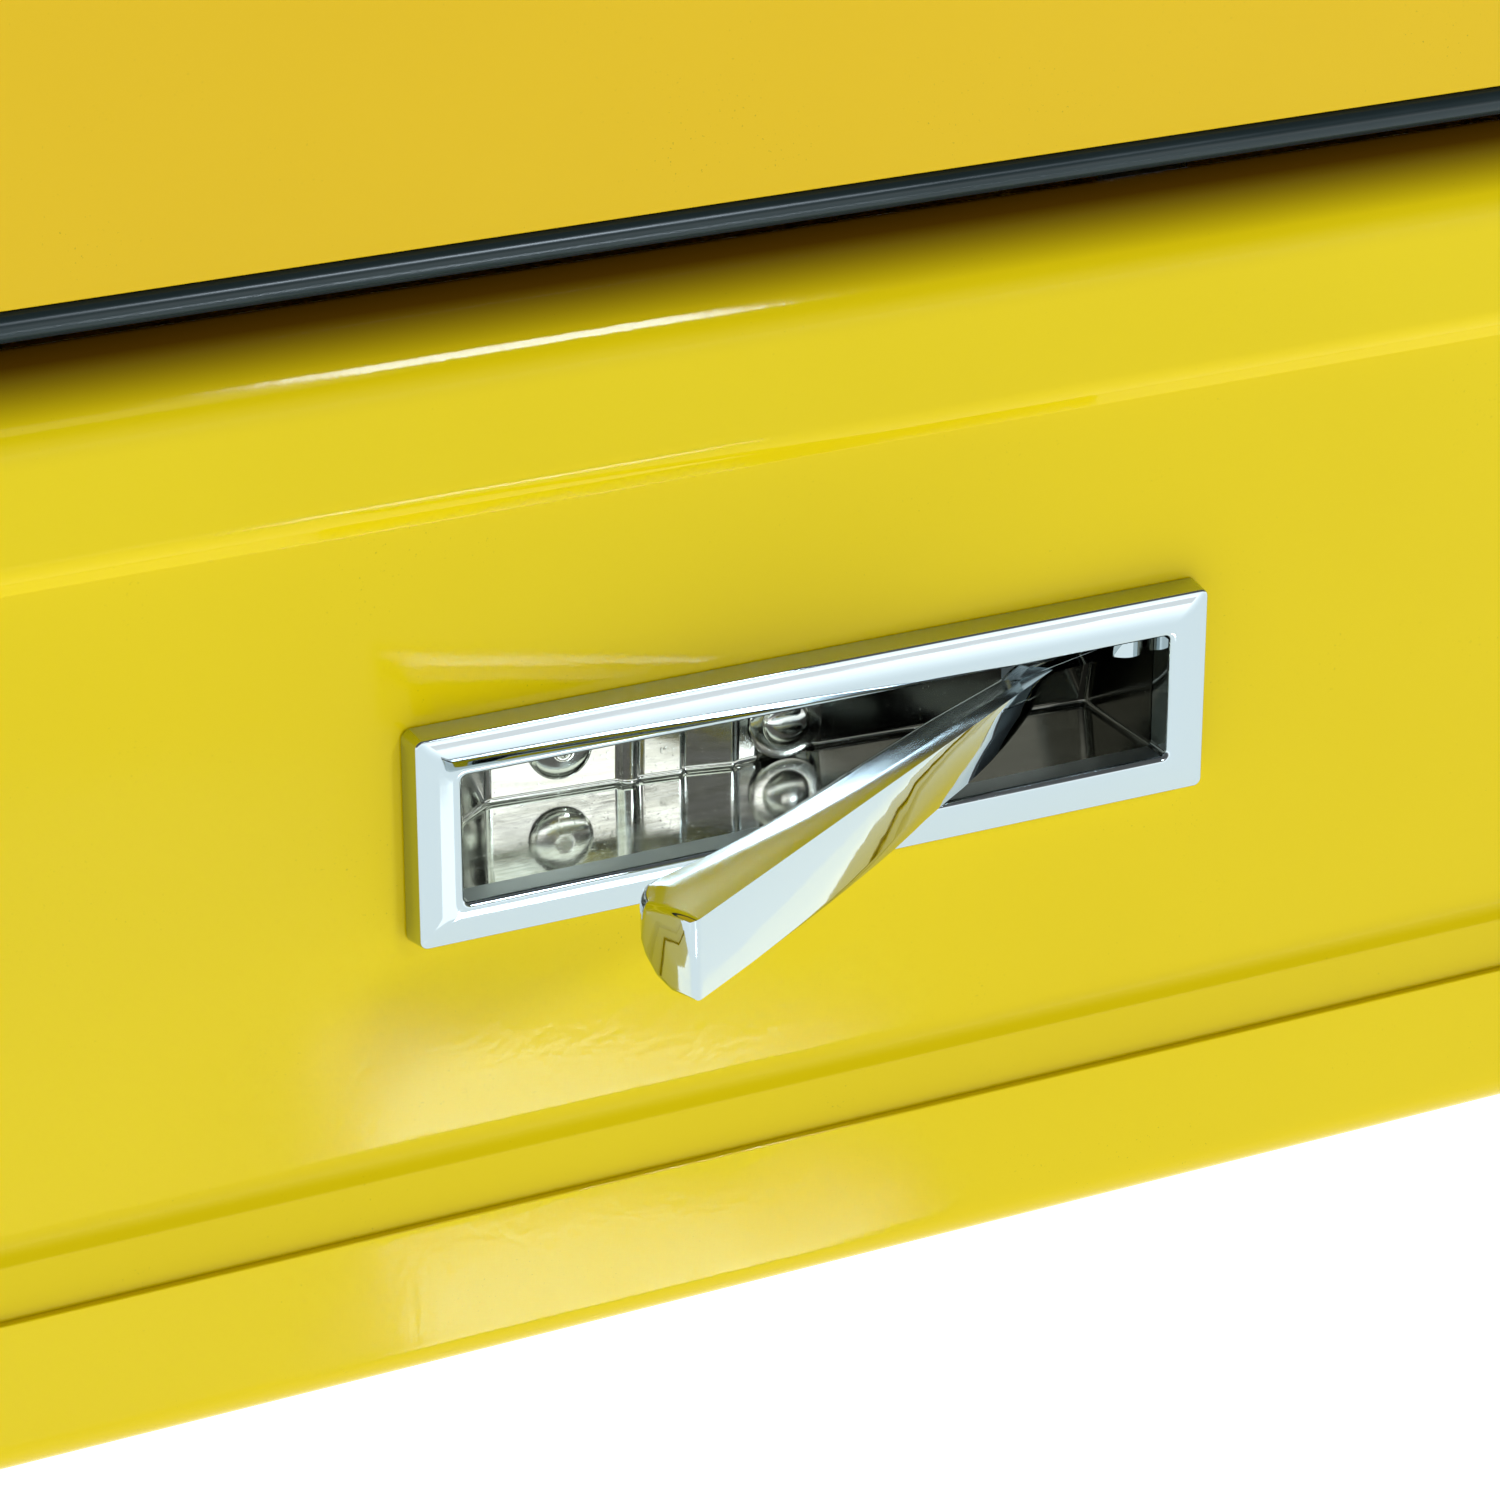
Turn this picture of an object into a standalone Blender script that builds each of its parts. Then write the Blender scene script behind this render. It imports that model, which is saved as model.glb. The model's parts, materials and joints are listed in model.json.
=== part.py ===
"""Sheet-steel toolbox with a hinged lid, a recessed swing-lever latch and a lift-out tray.

Frame: metres, +Z up. X runs along the box with X = 0 at the middle of the latch, the front
faces -Y, and Z = 0 is the underside of the base pan. The lid is closed, the carry handle and
the tray handle lie flat, and the latch lever stands out of its cup as if being pulled.
"""

import math

import bmesh
import bpy
from mathutils import Matrix, Vector


# ---- driving dimensions (metres) -------------------------------------------------------------
BODY_LENGTH = 0.520          # over the flat bands, along X
BODY_DEPTH = 0.220           # over the flat bands, along Y
CORNER_RADIUS = 0.022        # plan corner of the bands
CORNER_SEGMENTS = 6
SHEET = 0.0012               # steel sheet of body, base and lid
GAP = 0.0003                 # clearance between touching pieces

PAN_PROUD = 0.0015           # the base pan's flange laps outside the body's lower band
PAN_FLANGE_TOP = 0.024
PAN_BOTTOM_RADIUS = 0.005
LOWER_BAND_TOP = 0.0315      # the lower band steps in to the panel above this height
PANEL_BOTTOM = 0.037
PANEL_TOP = 0.1275
PANEL_INSET = 0.0025         # how far the panel lies behind the bands
UPPER_BAND_BOTTOM = 0.1305
SHOULDER_START = 0.1452
SHOULDER_RADIUS = 0.013
SHOULDER_SWEEP = 78.0        # degrees the shoulder turns before a hem folds down
RIM_HEM = 0.006

LID_INSET = 0.0055           # lid walls behind the bands
LID_BOTTOM = 0.1646
LID_TOP = 0.235
LID_EDGE_RADIUS = 0.012
LID_PANEL_INSET = 0.030      # border round the raised panel pressed into the lid's top
LID_PANEL_RISE = 0.0015
SEAL_HEIGHT = 0.0042
SEAL_DEPTH = 0.0050
SEAL_PROUD = 0.0008          # the seal bulges out past the lid wall

HINGE_AXIS_Y = 0.113
HINGE_AXIS_Z = 0.162
HINGE_X = (-0.160, 0.160)
HINGE_WIDTH = 0.060
HINGE_KNUCKLE_RADIUS = 0.0032
HINGE_PIN_RADIUS = 0.0015
HINGE_LEAF = 0.0015
HINGE_BODY_LEAF_LOW = 0.1315
HINGE_BODY_LEAF_TOP = 0.1555
HINGE_LID_LEAF_TOP = 0.1950
HINGE_BODY_RIVET_Z = 0.1370
HINGE_LID_RIVET_Z = 0.1840
HINGE_RIVET_OFFSET = 0.018

LATCH_Z = 0.0825             # middle height of the latch
BEZEL_FRONT_Y = -0.1125
BEZEL_LENGTH = 0.125
BEZEL_HEIGHT = 0.0311
BEZEL_OPENING_LENGTH = 0.112
BEZEL_OPENING_HEIGHT = 0.0189
BEZEL_DEPTH = 0.0047
CUP_WALL = 0.0009
CUP_MARGIN = 0.0004          # between the cup and the opening cut for it
CUP_BACK_RIGHT_Y = -0.0906   # the cup's back wall slopes in plan, deepest near its finger end
CUP_BACK_LEFT = (-0.0394, -0.0826)
CUP_KNEE = (-0.0455, -0.0870)
CUP_SIDE_LEFT_Y = -0.1005
CUP_FIXINGS = (("left", -0.0283, 0.0796, 0.0054), ("right", 0.0065, 0.0780, 0.0040))
PIVOT_X = 0.053              # the lever's upright pivot, at the right end of the cup
PIVOT_Y = -0.104
SHAFT_RADIUS = 0.0019
LEVER_ANGLE = math.radians(32.3)     # how far the lever stands out from the panel
LEVER_LENGTH = 0.1130        # free end to pivot, measured along the lever
LEVER_OFFSET = 0.0042        # the pivot lies this far in front of the lever's face
LEVER_HALF_HEIGHT = 0.00585
NECK_LOW = 0.0050            # the lever's neck, above the latch's middle height
NECK_HIGH = 0.0082
CAM_Z = 0.140
CAM_THICKNESS = 0.003
CAM_LENGTH = 0.0145
CAM_ANGLE = math.radians(95.9)
GUIDE_HALF_LENGTH = 0.0075
GUIDE_BACK_Y = -0.1002
GUIDE_Z = (0.1315, 0.1365)
STRIKE_X = (0.0567, 0.0710)
STRIKE_TOP = 0.1850
STRIKE_FOOT = 0.1680
STRIKE_DROP_Y = -0.0882      # front face of the strike's hanging leg
STRIKE_HOOK_Y = -0.0940
STRIKE_HOOK_Z = (0.1370, 0.1390)
STRIKE_THICKNESS = 0.0016

HANDLE_SPAN = 0.150          # between the carry handle's pivots
HANDLE_REACH = 0.052
HANDLE_ROD = 0.0040
HANDLE_PIVOT_Y = -0.020
HANDLE_PIVOT_Z = LID_TOP + LID_PANEL_RISE + 0.0105

TRAY_LENGTH = 0.474
TRAY_DEPTH = 0.166
TRAY_FLOOR_Z = 0.098
TRAY_TOP_Z = 0.146
TRAY_WALL = 0.0010
TRAY_CORNER_RADIUS = 0.008
DIVIDER_THICKNESS = 0.0010
TRAY_HANDLE_SPAN = 0.110
TRAY_HANDLE_REACH = 0.034
TRAY_HANDLE_ROD = 0.0025
TRAY_HANDLE_PIVOT_Z = 0.1465

STAY_PLANE_X = 0.24325       # middle plane of the slotted stay arm
STAY_THICKNESS = 0.0015
STAY_LID_PIVOT = Vector((-0.0854, 0.0250))    # (y, z) measured from the hinge axis
STAY_BODY_PIN = Vector((-0.0830, -0.0320))
STAY_PIN_RADIUS = 0.0022
STAY_SLOT_HALF_WIDTH = 0.0026
LID_OPEN_ANGLE = math.radians(100.0)

# ---- materials: colour, roughness, metallic ---------------------------------------------------
YELLOW_PAINT = ("yellow_paint", (0.76, 0.55, 0.020), 0.22, 0.0)
YELLOW_PAINT_LID = ("yellow_paint_lid", (0.73, 0.50, 0.028), 0.25, 0.0)
BLUE_GREY_VINYL = ("blue_grey_vinyl", (0.028, 0.045, 0.048), 0.30, 0.0)
CHROME = ("chrome_plate", (0.80, 0.83, 0.84), 0.08, 1.0)
NICKEL = ("nickel_plate", (0.62, 0.62, 0.58), 0.18, 1.0)
ZINC = ("zinc_plate", (0.55, 0.57, 0.58), 0.32, 1.0)
BLACK_GRIP = ("black_grip", (0.020, 0.020, 0.022), 0.50, 0.0)
TRAY_PAINT = ("tray_paint", (0.74, 0.53, 0.020), 0.30, 0.0)


def clear_scene():
    for thing in list(bpy.data.objects):
        bpy.data.objects.remove(thing, do_unlink=True)


def material(spec):
    name, colour, roughness, metallic = spec
    found = bpy.data.materials.get(name)
    if found:
        return found
    made = bpy.data.materials.new(name)
    made.use_nodes = True
    shader = made.node_tree.nodes["Principled BSDF"]
    shader.inputs["Base Color"].default_value = (*colour, 1.0)
    shader.inputs["Roughness"].default_value = roughness
    shader.inputs["Metallic"].default_value = metallic
    made.diffuse_color = (*colour, 1.0)
    return made


# ---- mesh helpers -----------------------------------------------------------------------------
def add_object(name, mesh_data, spec, parent=None):
    """An object for a finished bmesh, its origin on its parent's."""
    bmesh.ops.recalc_face_normals(mesh_data, faces=mesh_data.faces)
    mesh = bpy.data.meshes.new(name)
    mesh_data.to_mesh(mesh)
    mesh_data.free()
    thing = bpy.data.objects.new(name, mesh)
    bpy.context.scene.collection.objects.link(thing)
    thing.data.materials.append(material(spec))
    if parent:
        thing.parent = parent
        thing.matrix_parent_inverse = Matrix.Identity(4)
        for vertex in mesh.vertices:
            vertex.co -= parent.location
    mesh.shade_smooth()
    mesh.set_sharp_from_angle(angle=math.radians(30))
    return thing


def joint_empty(name, place):
    """The axis point of a moving body."""
    empty = bpy.data.objects.new(name, None)
    bpy.context.scene.collection.objects.link(empty)
    empty.location = place
    return empty


def cut(thing, cutter_name, cutter_mesh, operation="DIFFERENCE"):
    """Boolean a second mesh into thing and keep it as a hidden wire cutter."""
    cutter = add_object(cutter_name, cutter_mesh, ZINC, thing.parent)
    cutter.hide_render = True
    cutter.display_type = "WIRE"
    modifier = thing.modifiers.new(cutter_name, "BOOLEAN")
    modifier.operation = operation
    modifier.solver = "EXACT"
    modifier.object = cutter


def bridge(mesh_data, loops, closed):
    """Faces between successive vertex loops; closed joins the last loop to the first."""
    pairs = list(zip(loops, loops[1:]))
    if closed:
        pairs.append((loops[-1], loops[0]))
    for lower, upper in pairs:
        count = len(lower)
        for index in range(count):
            after = (index + 1) % count
            mesh_data.faces.new((lower[index], lower[after], upper[after], upper[index]))


def loft(sections, closed=False, into=None):
    """A solid through point loops of equal length, capped at both ends unless closed."""
    mesh_data = into or bmesh.new()
    loops = [[mesh_data.verts.new(point) for point in section] for section in sections]
    bridge(mesh_data, loops, closed)
    if not closed:
        mesh_data.faces.new(loops[0])
        mesh_data.faces.new(loops[-1])
    return mesh_data


def rounded_rectangle(half_x, half_y, radius, z, centre=(0.0, 0.0)):
    points = []
    radius = max(radius, 0.0008)
    for corner in range(4):
        sign_x = (1, -1, -1, 1)[corner]
        sign_y = (1, 1, -1, -1)[corner]
        for step in range(CORNER_SEGMENTS + 1):
            angle = math.pi / 2 * (corner + step / CORNER_SEGMENTS)
            x = sign_x * (half_x - radius) + radius * math.cos(angle)
            y = sign_y * (half_y - radius) + radius * math.sin(angle)
            points.append((centre[0] + x, centre[1] + y, z))
    return points


def plan_loop(inset, z):
    """The box's plan outline, moved inward from the bands by inset."""
    return rounded_rectangle(BODY_LENGTH / 2 - inset, BODY_DEPTH / 2 - inset, CORNER_RADIUS - inset, z)


def swept(profile, closed):
    return loft([plan_loop(inset, z) for inset, z in profile], closed)


def arc(centre, radius, start, end, segments):
    """Points of an arc in a plane, angles in degrees."""
    points = []
    for step in range(segments + 1):
        angle = math.radians(start + (end - start) * step / segments)
        points.append((centre[0] + radius * math.cos(angle), centre[1] + radius * math.sin(angle)))
    return points


def prism(outline, low, high, axis="Z", into=None):
    """An outline pushed along an axis: XY along Z, YZ along X, XZ along Y."""
    place = {
        "Z": lambda a, b, c: (a, b, c),
        "X": lambda a, b, c: (c, a, b),
        "Y": lambda a, b, c: (a, c, b),
    }[axis]
    return loft([[place(a, b, level) for a, b in outline] for level in (low, high)], into=into)


def box(low, high, into=None):
    outline = [(low[0], low[1]), (high[0], low[1]), (high[0], high[1]), (low[0], high[1])]
    return prism(outline, low[2], high[2], into=into)


def circle(centre, radius, segments=16):
    return arc(centre, radius, 0, 360 - 360 / segments, segments - 1)


def domed_head(centre, radius, height, base, axis, direction, into, segments=12):
    """A rivet head whose flat underside is at base."""
    place = {
        "Z": lambda a, b, c: (a, b, c),
        "X": lambda a, b, c: (c, a, b),
        "Y": lambda a, b, c: (a, c, b),
    }[axis]
    sections = []
    for scale, rise in ((1.0, 0.0), (0.92, 0.45), (0.66, 0.82), (0.30, 1.0)):
        level = base + direction * height * rise
        sections.append([place(a, b, level) for a, b in circle(centre, radius * scale, segments)])
    return loft(sections, into=into)


def round_bar(points, radius, segments=10):
    """A round bar along a bent centre line, each section in the plane that halves the bend."""
    sections = []
    for index, point in enumerate(points):
        here = Vector(point)
        before = here - Vector(points[index - 1]) if index else Vector(points[1]) - here
        after = Vector(points[index + 1]) - here if index + 1 < len(points) else before
        along = (before.normalized() + after.normalized()).normalized()
        flat = Vector((0.0, 0.0, 1.0))
        side = along.cross(flat).normalized()
        section = []
        for step in range(segments):
            angle = math.tau * step / segments
            section.append(here + radius * (math.cos(angle) * side + math.sin(angle) * flat))
        sections.append(section)
    return loft(sections)


# ---- body and base ----------------------------------------------------------------------------
def body_profile():
    """The wall's outer line below the shoulder, and the shoulder up to the rim, as (inset, height)."""
    wall = [
        (0.0, PAN_BOTTOM_RADIUS + GAP),
        (0.0, LOWER_BAND_TOP),
        (0.0006, LOWER_BAND_TOP + 0.0018),
        (PANEL_INSET - 0.0004, PANEL_BOTTOM - 0.0014),
        (PANEL_INSET, PANEL_BOTTOM),
        (PANEL_INSET, PANEL_TOP),
        (PANEL_INSET - 0.0004, PANEL_TOP + 0.0008),
        (0.0004, UPPER_BAND_BOTTOM - 0.0008),
        (0.0, UPPER_BAND_BOTTOM),
    ]
    centre = (SHOULDER_RADIUS, SHOULDER_START)
    shoulder = arc(centre, SHOULDER_RADIUS, 180, 180 - SHOULDER_SWEEP, 7)
    return wall, shoulder


def body_shell():
    wall, shoulder = body_profile()
    rim_inset, top = shoulder[-1]
    hem_inset = rim_inset + SHEET / 2
    centre = (SHOULDER_RADIUS, SHOULDER_START)
    inner_radius = SHOULDER_RADIUS - SHEET
    sweep = math.degrees(math.acos((SHOULDER_RADIUS - hem_inset + SHEET) / inner_radius))
    inner = [(hem_inset, top - 0.0004), (hem_inset, top - RIM_HEM), (hem_inset - SHEET, top - RIM_HEM)]
    inner += arc(centre, inner_radius, 180 - sweep, 180, 6)
    inner += [(inset + SHEET, z) for inset, z in reversed(wall)]
    shell = add_object("body_shell", swept(wall + shoulder + inner, closed=True), YELLOW_PAINT)
    margin = CUP_WALL + CUP_MARGIN
    half_x = BEZEL_OPENING_LENGTH / 2 + margin
    half_z = BEZEL_OPENING_HEIGHT / 2 + margin
    wall_y = -BODY_DEPTH / 2 + PANEL_INSET
    hole = box((-half_x, wall_y - 0.002, LATCH_Z - half_z), (half_x, wall_y + 0.004, LATCH_Z + half_z))
    cut(shell, "cut_latch_opening", hole)


def base_pan():
    """A shallow pressed pan: the floor, a rounded bottom edge and an upturned flange."""
    radius = PAN_BOTTOM_RADIUS
    outside = arc((radius - PAN_PROUD, radius), radius, 270, 180, 5)
    outer = outside + [(-PAN_PROUD, PAN_FLANGE_TOP)]
    face = -PAN_PROUD + SHEET
    inside = arc((radius - PAN_PROUD, radius), radius - SHEET, 180, 270, 4)
    inner = [(face, PAN_FLANGE_TOP)] + inside
    add_object("base_pan", swept(outer + inner, closed=False), YELLOW_PAINT)


# ---- lid and its seal -------------------------------------------------------------------------
def lid_shell():
    radius = LID_EDGE_RADIUS
    edge = arc((LID_INSET + radius, LID_TOP - radius), radius, 180, 90, 5)
    outer = [(LID_INSET, LID_BOTTOM)] + edge
    outer += [(LID_PANEL_INSET, LID_TOP), (LID_PANEL_INSET + 0.003, LID_TOP + LID_PANEL_RISE)]
    inner_edge = arc((LID_INSET + radius, LID_TOP - radius), radius - SHEET, 90, 180, 4)
    inner = [(LID_PANEL_INSET + 0.003, LID_TOP + LID_PANEL_RISE - SHEET), (LID_PANEL_INSET, LID_TOP - SHEET)]
    inner += inner_edge + [(LID_INSET + SHEET, LID_BOTTOM)]
    order = list(reversed(outer)) + list(reversed(inner))
    add_object("lid_shell", swept(order, closed=False), YELLOW_PAINT_LID, lid_axis)


def lid_seal():
    """The rounded vinyl trim under the lid's edge."""
    top = LID_BOTTOM - GAP
    low = top - SEAL_HEIGHT
    outside = LID_INSET - SEAL_PROUD
    inside = outside + SEAL_DEPTH
    curve = SEAL_HEIGHT * 0.3
    profile = [
        (outside + curve, top),
        (outside + curve * 0.3, top - curve * 0.3),
        (outside, top - curve),
        (outside, low + curve),
        (outside + curve * 0.3, low + curve * 0.3),
        (outside + curve, low),
        (inside - curve, low),
        (inside, low + curve),
        (inside, top),
    ]
    add_object("lid_seal", swept(profile, closed=True), BLUE_GREY_VINYL, lid_axis)


# ---- rear hinges ------------------------------------------------------------------------------
def knuckle_spans(x):
    """Five knuckles: the first, third and fifth belong to the body leaf."""
    width = HINGE_WIDTH / 5
    start = x - HINGE_WIDTH / 2
    spans = [(start + width * n + GAP / 2, start + width * (n + 1) - GAP / 2) for n in range(5)]
    return spans[0::2], spans[1::2]


def hinge_leaf(name, plate, web, spans, x, parent):
    """A flat plate with a barrel on each of its knuckle spans, made one solid."""
    half = HINGE_WIDTH / 2
    leaf = add_object(name, prism(plate, x - half, x + half, "X"), ZINC, parent)
    axis = (HINGE_AXIS_Y, HINGE_AXIS_Z)
    for number, (low, high) in enumerate(spans):
        cut(leaf, f"{name}_web_{number}", prism(web, low, high, "X"), "UNION")
        barrel = prism(circle(axis, HINGE_KNUCKLE_RADIUS), low, high, "X")
        cut(leaf, f"{name}_barrel_{number}", barrel, "UNION")
    bore = prism(circle(axis, HINGE_PIN_RADIUS + GAP), x - half - 0.001, x + half + 0.001, "X")
    cut(leaf, f"{name}_bore", bore)


def rear_hinges():
    body_face = BODY_DEPTH / 2 + GAP
    lid_face = BODY_DEPTH / 2 - LID_INSET + GAP
    axis_y, axis_z = HINGE_AXIS_Y, HINGE_AXIS_Z
    body_plate = [
        (body_face, HINGE_BODY_LEAF_LOW),
        (body_face + HINGE_LEAF, HINGE_BODY_LEAF_LOW),
        (body_face + HINGE_LEAF, HINGE_BODY_LEAF_TOP),
        (body_face, HINGE_BODY_LEAF_TOP),
    ]
    body_web = [
        (body_face, HINGE_BODY_LEAF_TOP - 0.0005),
        (body_face + HINGE_LEAF, HINGE_BODY_LEAF_TOP - 0.0005),
        (axis_y + 0.0010, axis_z - 0.0012),
        (axis_y - 0.0012, axis_z),
    ]
    lid_low = LID_BOTTOM + 0.0010
    lid_plate = [
        (lid_face, lid_low),
        (lid_face + HINGE_LEAF, lid_low),
        (lid_face + HINGE_LEAF, HINGE_LID_LEAF_TOP),
        (lid_face, HINGE_LID_LEAF_TOP),
    ]
    lid_web = [
        (lid_face + 0.0004, lid_low + 0.0001),
        (axis_y, axis_z + 0.0012),
        (axis_y, axis_z + 0.0029),
        (lid_face + 0.0004, lid_low + 0.0024),
    ]
    for side, x in zip(("left", "right"), HINGE_X):
        body_spans, lid_spans = knuckle_spans(x)
        hinge_leaf(f"hinge_{side}_body_leaf", body_plate, body_web, body_spans, x, None)
        hinge_leaf(f"hinge_{side}_lid_leaf", lid_plate, lid_web, lid_spans, x, lid_axis)
        half = HINGE_WIDTH / 2 + 0.0008
        pin = prism(circle((axis_y, axis_z), HINGE_PIN_RADIUS, 12), x - half, x + half, "X")
        add_object(f"hinge_{side}_pin", pin, ZINC)


def rivet(name, place, radius, height, axis, direction, spec, parent=None):
    """A domed head; place is its two in-plane values and the level of its flat underside."""
    first, second, base = place
    mesh_data = bmesh.new()
    domed_head((first, second), radius, height, base, axis, direction, mesh_data)
    add_object(name, mesh_data, spec, parent)


def hinge_rivets():
    """Two rivets through each leaf."""
    body_face = BODY_DEPTH / 2 + GAP + HINGE_LEAF + GAP
    lid_face = BODY_DEPTH / 2 - LID_INSET + GAP + HINGE_LEAF + GAP
    for side, x in zip(("left", "right"), HINGE_X):
        for number, offset in ((1, -HINGE_RIVET_OFFSET), (2, HINGE_RIVET_OFFSET)):
            body_place = (x + offset, HINGE_BODY_RIVET_Z, body_face)
            lid_place = (x + offset, HINGE_LID_RIVET_Z, lid_face)
            rivet(f"hinge_{side}_body_rivet_{number}", body_place, 0.0034, 0.0016, "Y", 1, ZINC)
            rivet(f"hinge_{side}_lid_rivet_{number}", lid_place, 0.0034, 0.0016, "Y", 1, ZINC, lid_axis)


# ---- latch ------------------------------------------------------------------------------------
def latch_bezel():
    """A rectangular frame standing proud of the panel, its faces drafted a little."""
    half_x = BEZEL_LENGTH / 2
    half_z = BEZEL_HEIGHT / 2
    open_x = BEZEL_OPENING_LENGTH / 2
    open_z = BEZEL_OPENING_HEIGHT / 2
    front = BEZEL_FRONT_Y
    back = front + BEZEL_DEPTH
    edge = 0.0008
    steps = [
        (half_x + 0.0005, half_z + 0.0005, 0.0030, back),
        (half_x, half_z, 0.0026, front + edge),
        (half_x - edge, half_z - edge, 0.0018, front),
        (open_x + edge, open_z + edge, 0.0020, front),
        (open_x, open_z, 0.0014, front + 1.5 * edge),
        (open_x, open_z, 0.0014, back),
    ]
    sections = []
    for across, up, radius, y in steps:
        flat = rounded_rectangle(across, up, radius, 0.0, (0.0, LATCH_Z))
        sections.append([(a, y, b) for a, b, _ in flat])
    add_object("latch_bezel", loft(sections, closed=True), CHROME)


def cup_plan(grow, front):
    """The cup's plan outline: deeper at its left, finger end."""
    half = BEZEL_OPENING_LENGTH / 2 + grow
    return [
        (-half, front),
        (half, front),
        (half, CUP_BACK_RIGHT_Y + grow),
        (CUP_BACK_LEFT[0], CUP_BACK_LEFT[1] + grow),
        (CUP_KNEE[0] - grow, CUP_KNEE[1] + grow * 0.5),
        (-half, CUP_SIDE_LEFT_Y + grow * 0.4),
    ]


def latch_cup():
    half_z = BEZEL_OPENING_HEIGHT / 2 + CUP_MARGIN
    front = BEZEL_FRONT_Y + BEZEL_DEPTH + GAP
    outer = prism(cup_plan(CUP_WALL, front), LATCH_Z - half_z - CUP_WALL, LATCH_Z + half_z + CUP_WALL)
    cup = add_object("latch_cup", outer, NICKEL)
    inner = prism(cup_plan(0.0, front - 0.002), LATCH_Z - half_z, LATCH_Z + half_z)
    cut(cup, "cut_cup_inside", inner)
    pivot = prism(circle((PIVOT_X, PIVOT_Y), SHAFT_RADIUS + GAP), LATCH_Z, LATCH_Z + 0.020)
    cut(cup, "cut_cup_pivot", pivot)


def cup_rivets():
    """Two fixings on the cup's back wall, which slopes a little in plan."""
    left_x, left_y = CUP_BACK_LEFT
    slope = (left_y - CUP_BACK_RIGHT_Y) / (left_x - BEZEL_OPENING_LENGTH / 2)
    lean = Matrix.Rotation(math.atan(slope), 4, "Z")
    for side, x, z, radius in CUP_FIXINGS:
        wall_y = left_y + slope * (x - left_x)
        mesh_data = bmesh.new()
        domed_head((0.0, z), radius, 0.0014, -GAP - 0.0001, "Y", -1, mesh_data)
        mesh_data.transform(Matrix.Translation((x, wall_y, 0.0)) @ lean)
        add_object(f"latch_cup_rivet_{side}", mesh_data, NICKEL)


def lever_point(along, behind, z):
    """A point of the lever, from its free end, behind its front face and above its middle."""
    along_x, along_y = math.cos(LEVER_ANGLE), math.sin(LEVER_ANGLE)
    from_pivot = along - LEVER_LENGTH
    back = behind + LEVER_OFFSET
    x = PIVOT_X + from_pivot * along_x - back * along_y
    y = PIVOT_Y + from_pivot * along_y + back * along_x
    return (x, y, LATCH_Z + z)


def lever_section(along, depth, low):
    """Six corners: front face, flat top, and a chamfered lower back."""
    top = LEVER_HALF_HEIGHT
    chamfer = min(0.0026, (top - low) * 0.3)
    return [
        lever_point(along, 0.0, top),
        lever_point(along, 0.0, low),
        lever_point(along, depth * 0.55, low),
        lever_point(along, depth * 0.85, low + chamfer),
        lever_point(along, depth, low + chamfer * 2),
        lever_point(along, depth, top - 0.0004),
    ]


def latch_lever():
    """A tapering finger lever whose rounded toe leaves a neck up to the pivot's barrel."""
    half = -LEVER_HALF_HEIGHT
    stations = [
        (0.000, 0.0086, half),
        (0.012, 0.0125, half),
        (0.024, 0.0105, half),
        (0.053, 0.0105, half),
        (0.0765, 0.0090, half),
        (0.0850, 0.0080, -0.0042),
        (0.0905, 0.0070, -0.0018),
        (0.0985, 0.0054, 0.0046),
    ]
    lever = add_object("latch_lever", loft([lever_section(*row) for row in stations]), CHROME, lever_axis)
    neck = [
        lever_point(0.0930, 0.0008, 0.0),
        lever_point(0.0930, 0.0052, 0.0),
        lever_point(0.1050, 0.0036, 0.0),
        lever_point(0.1124, -0.0014, 0.0),
        lever_point(0.1134, -0.0040, 0.0),
        lever_point(0.1114, -0.0066, 0.0),
    ]
    neck_low = LATCH_Z + NECK_LOW
    neck_high = LATCH_Z + NECK_HIGH
    outline = [(x, y) for x, y, _ in neck]
    cut(lever, "lever_neck", prism(outline, neck_low, neck_high), "UNION")
    barrel = prism(circle((PIVOT_X, PIVOT_Y), SHAFT_RADIUS + 0.0010), neck_low - 0.0002, neck_high + 0.0006)
    cut(lever, "lever_barrel", barrel, "UNION")
    bore = prism(circle((PIVOT_X, PIVOT_Y), SHAFT_RADIUS + GAP), LATCH_Z - 0.004, LATCH_Z + 0.012)
    cut(lever, "lever_bore", bore)


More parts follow.
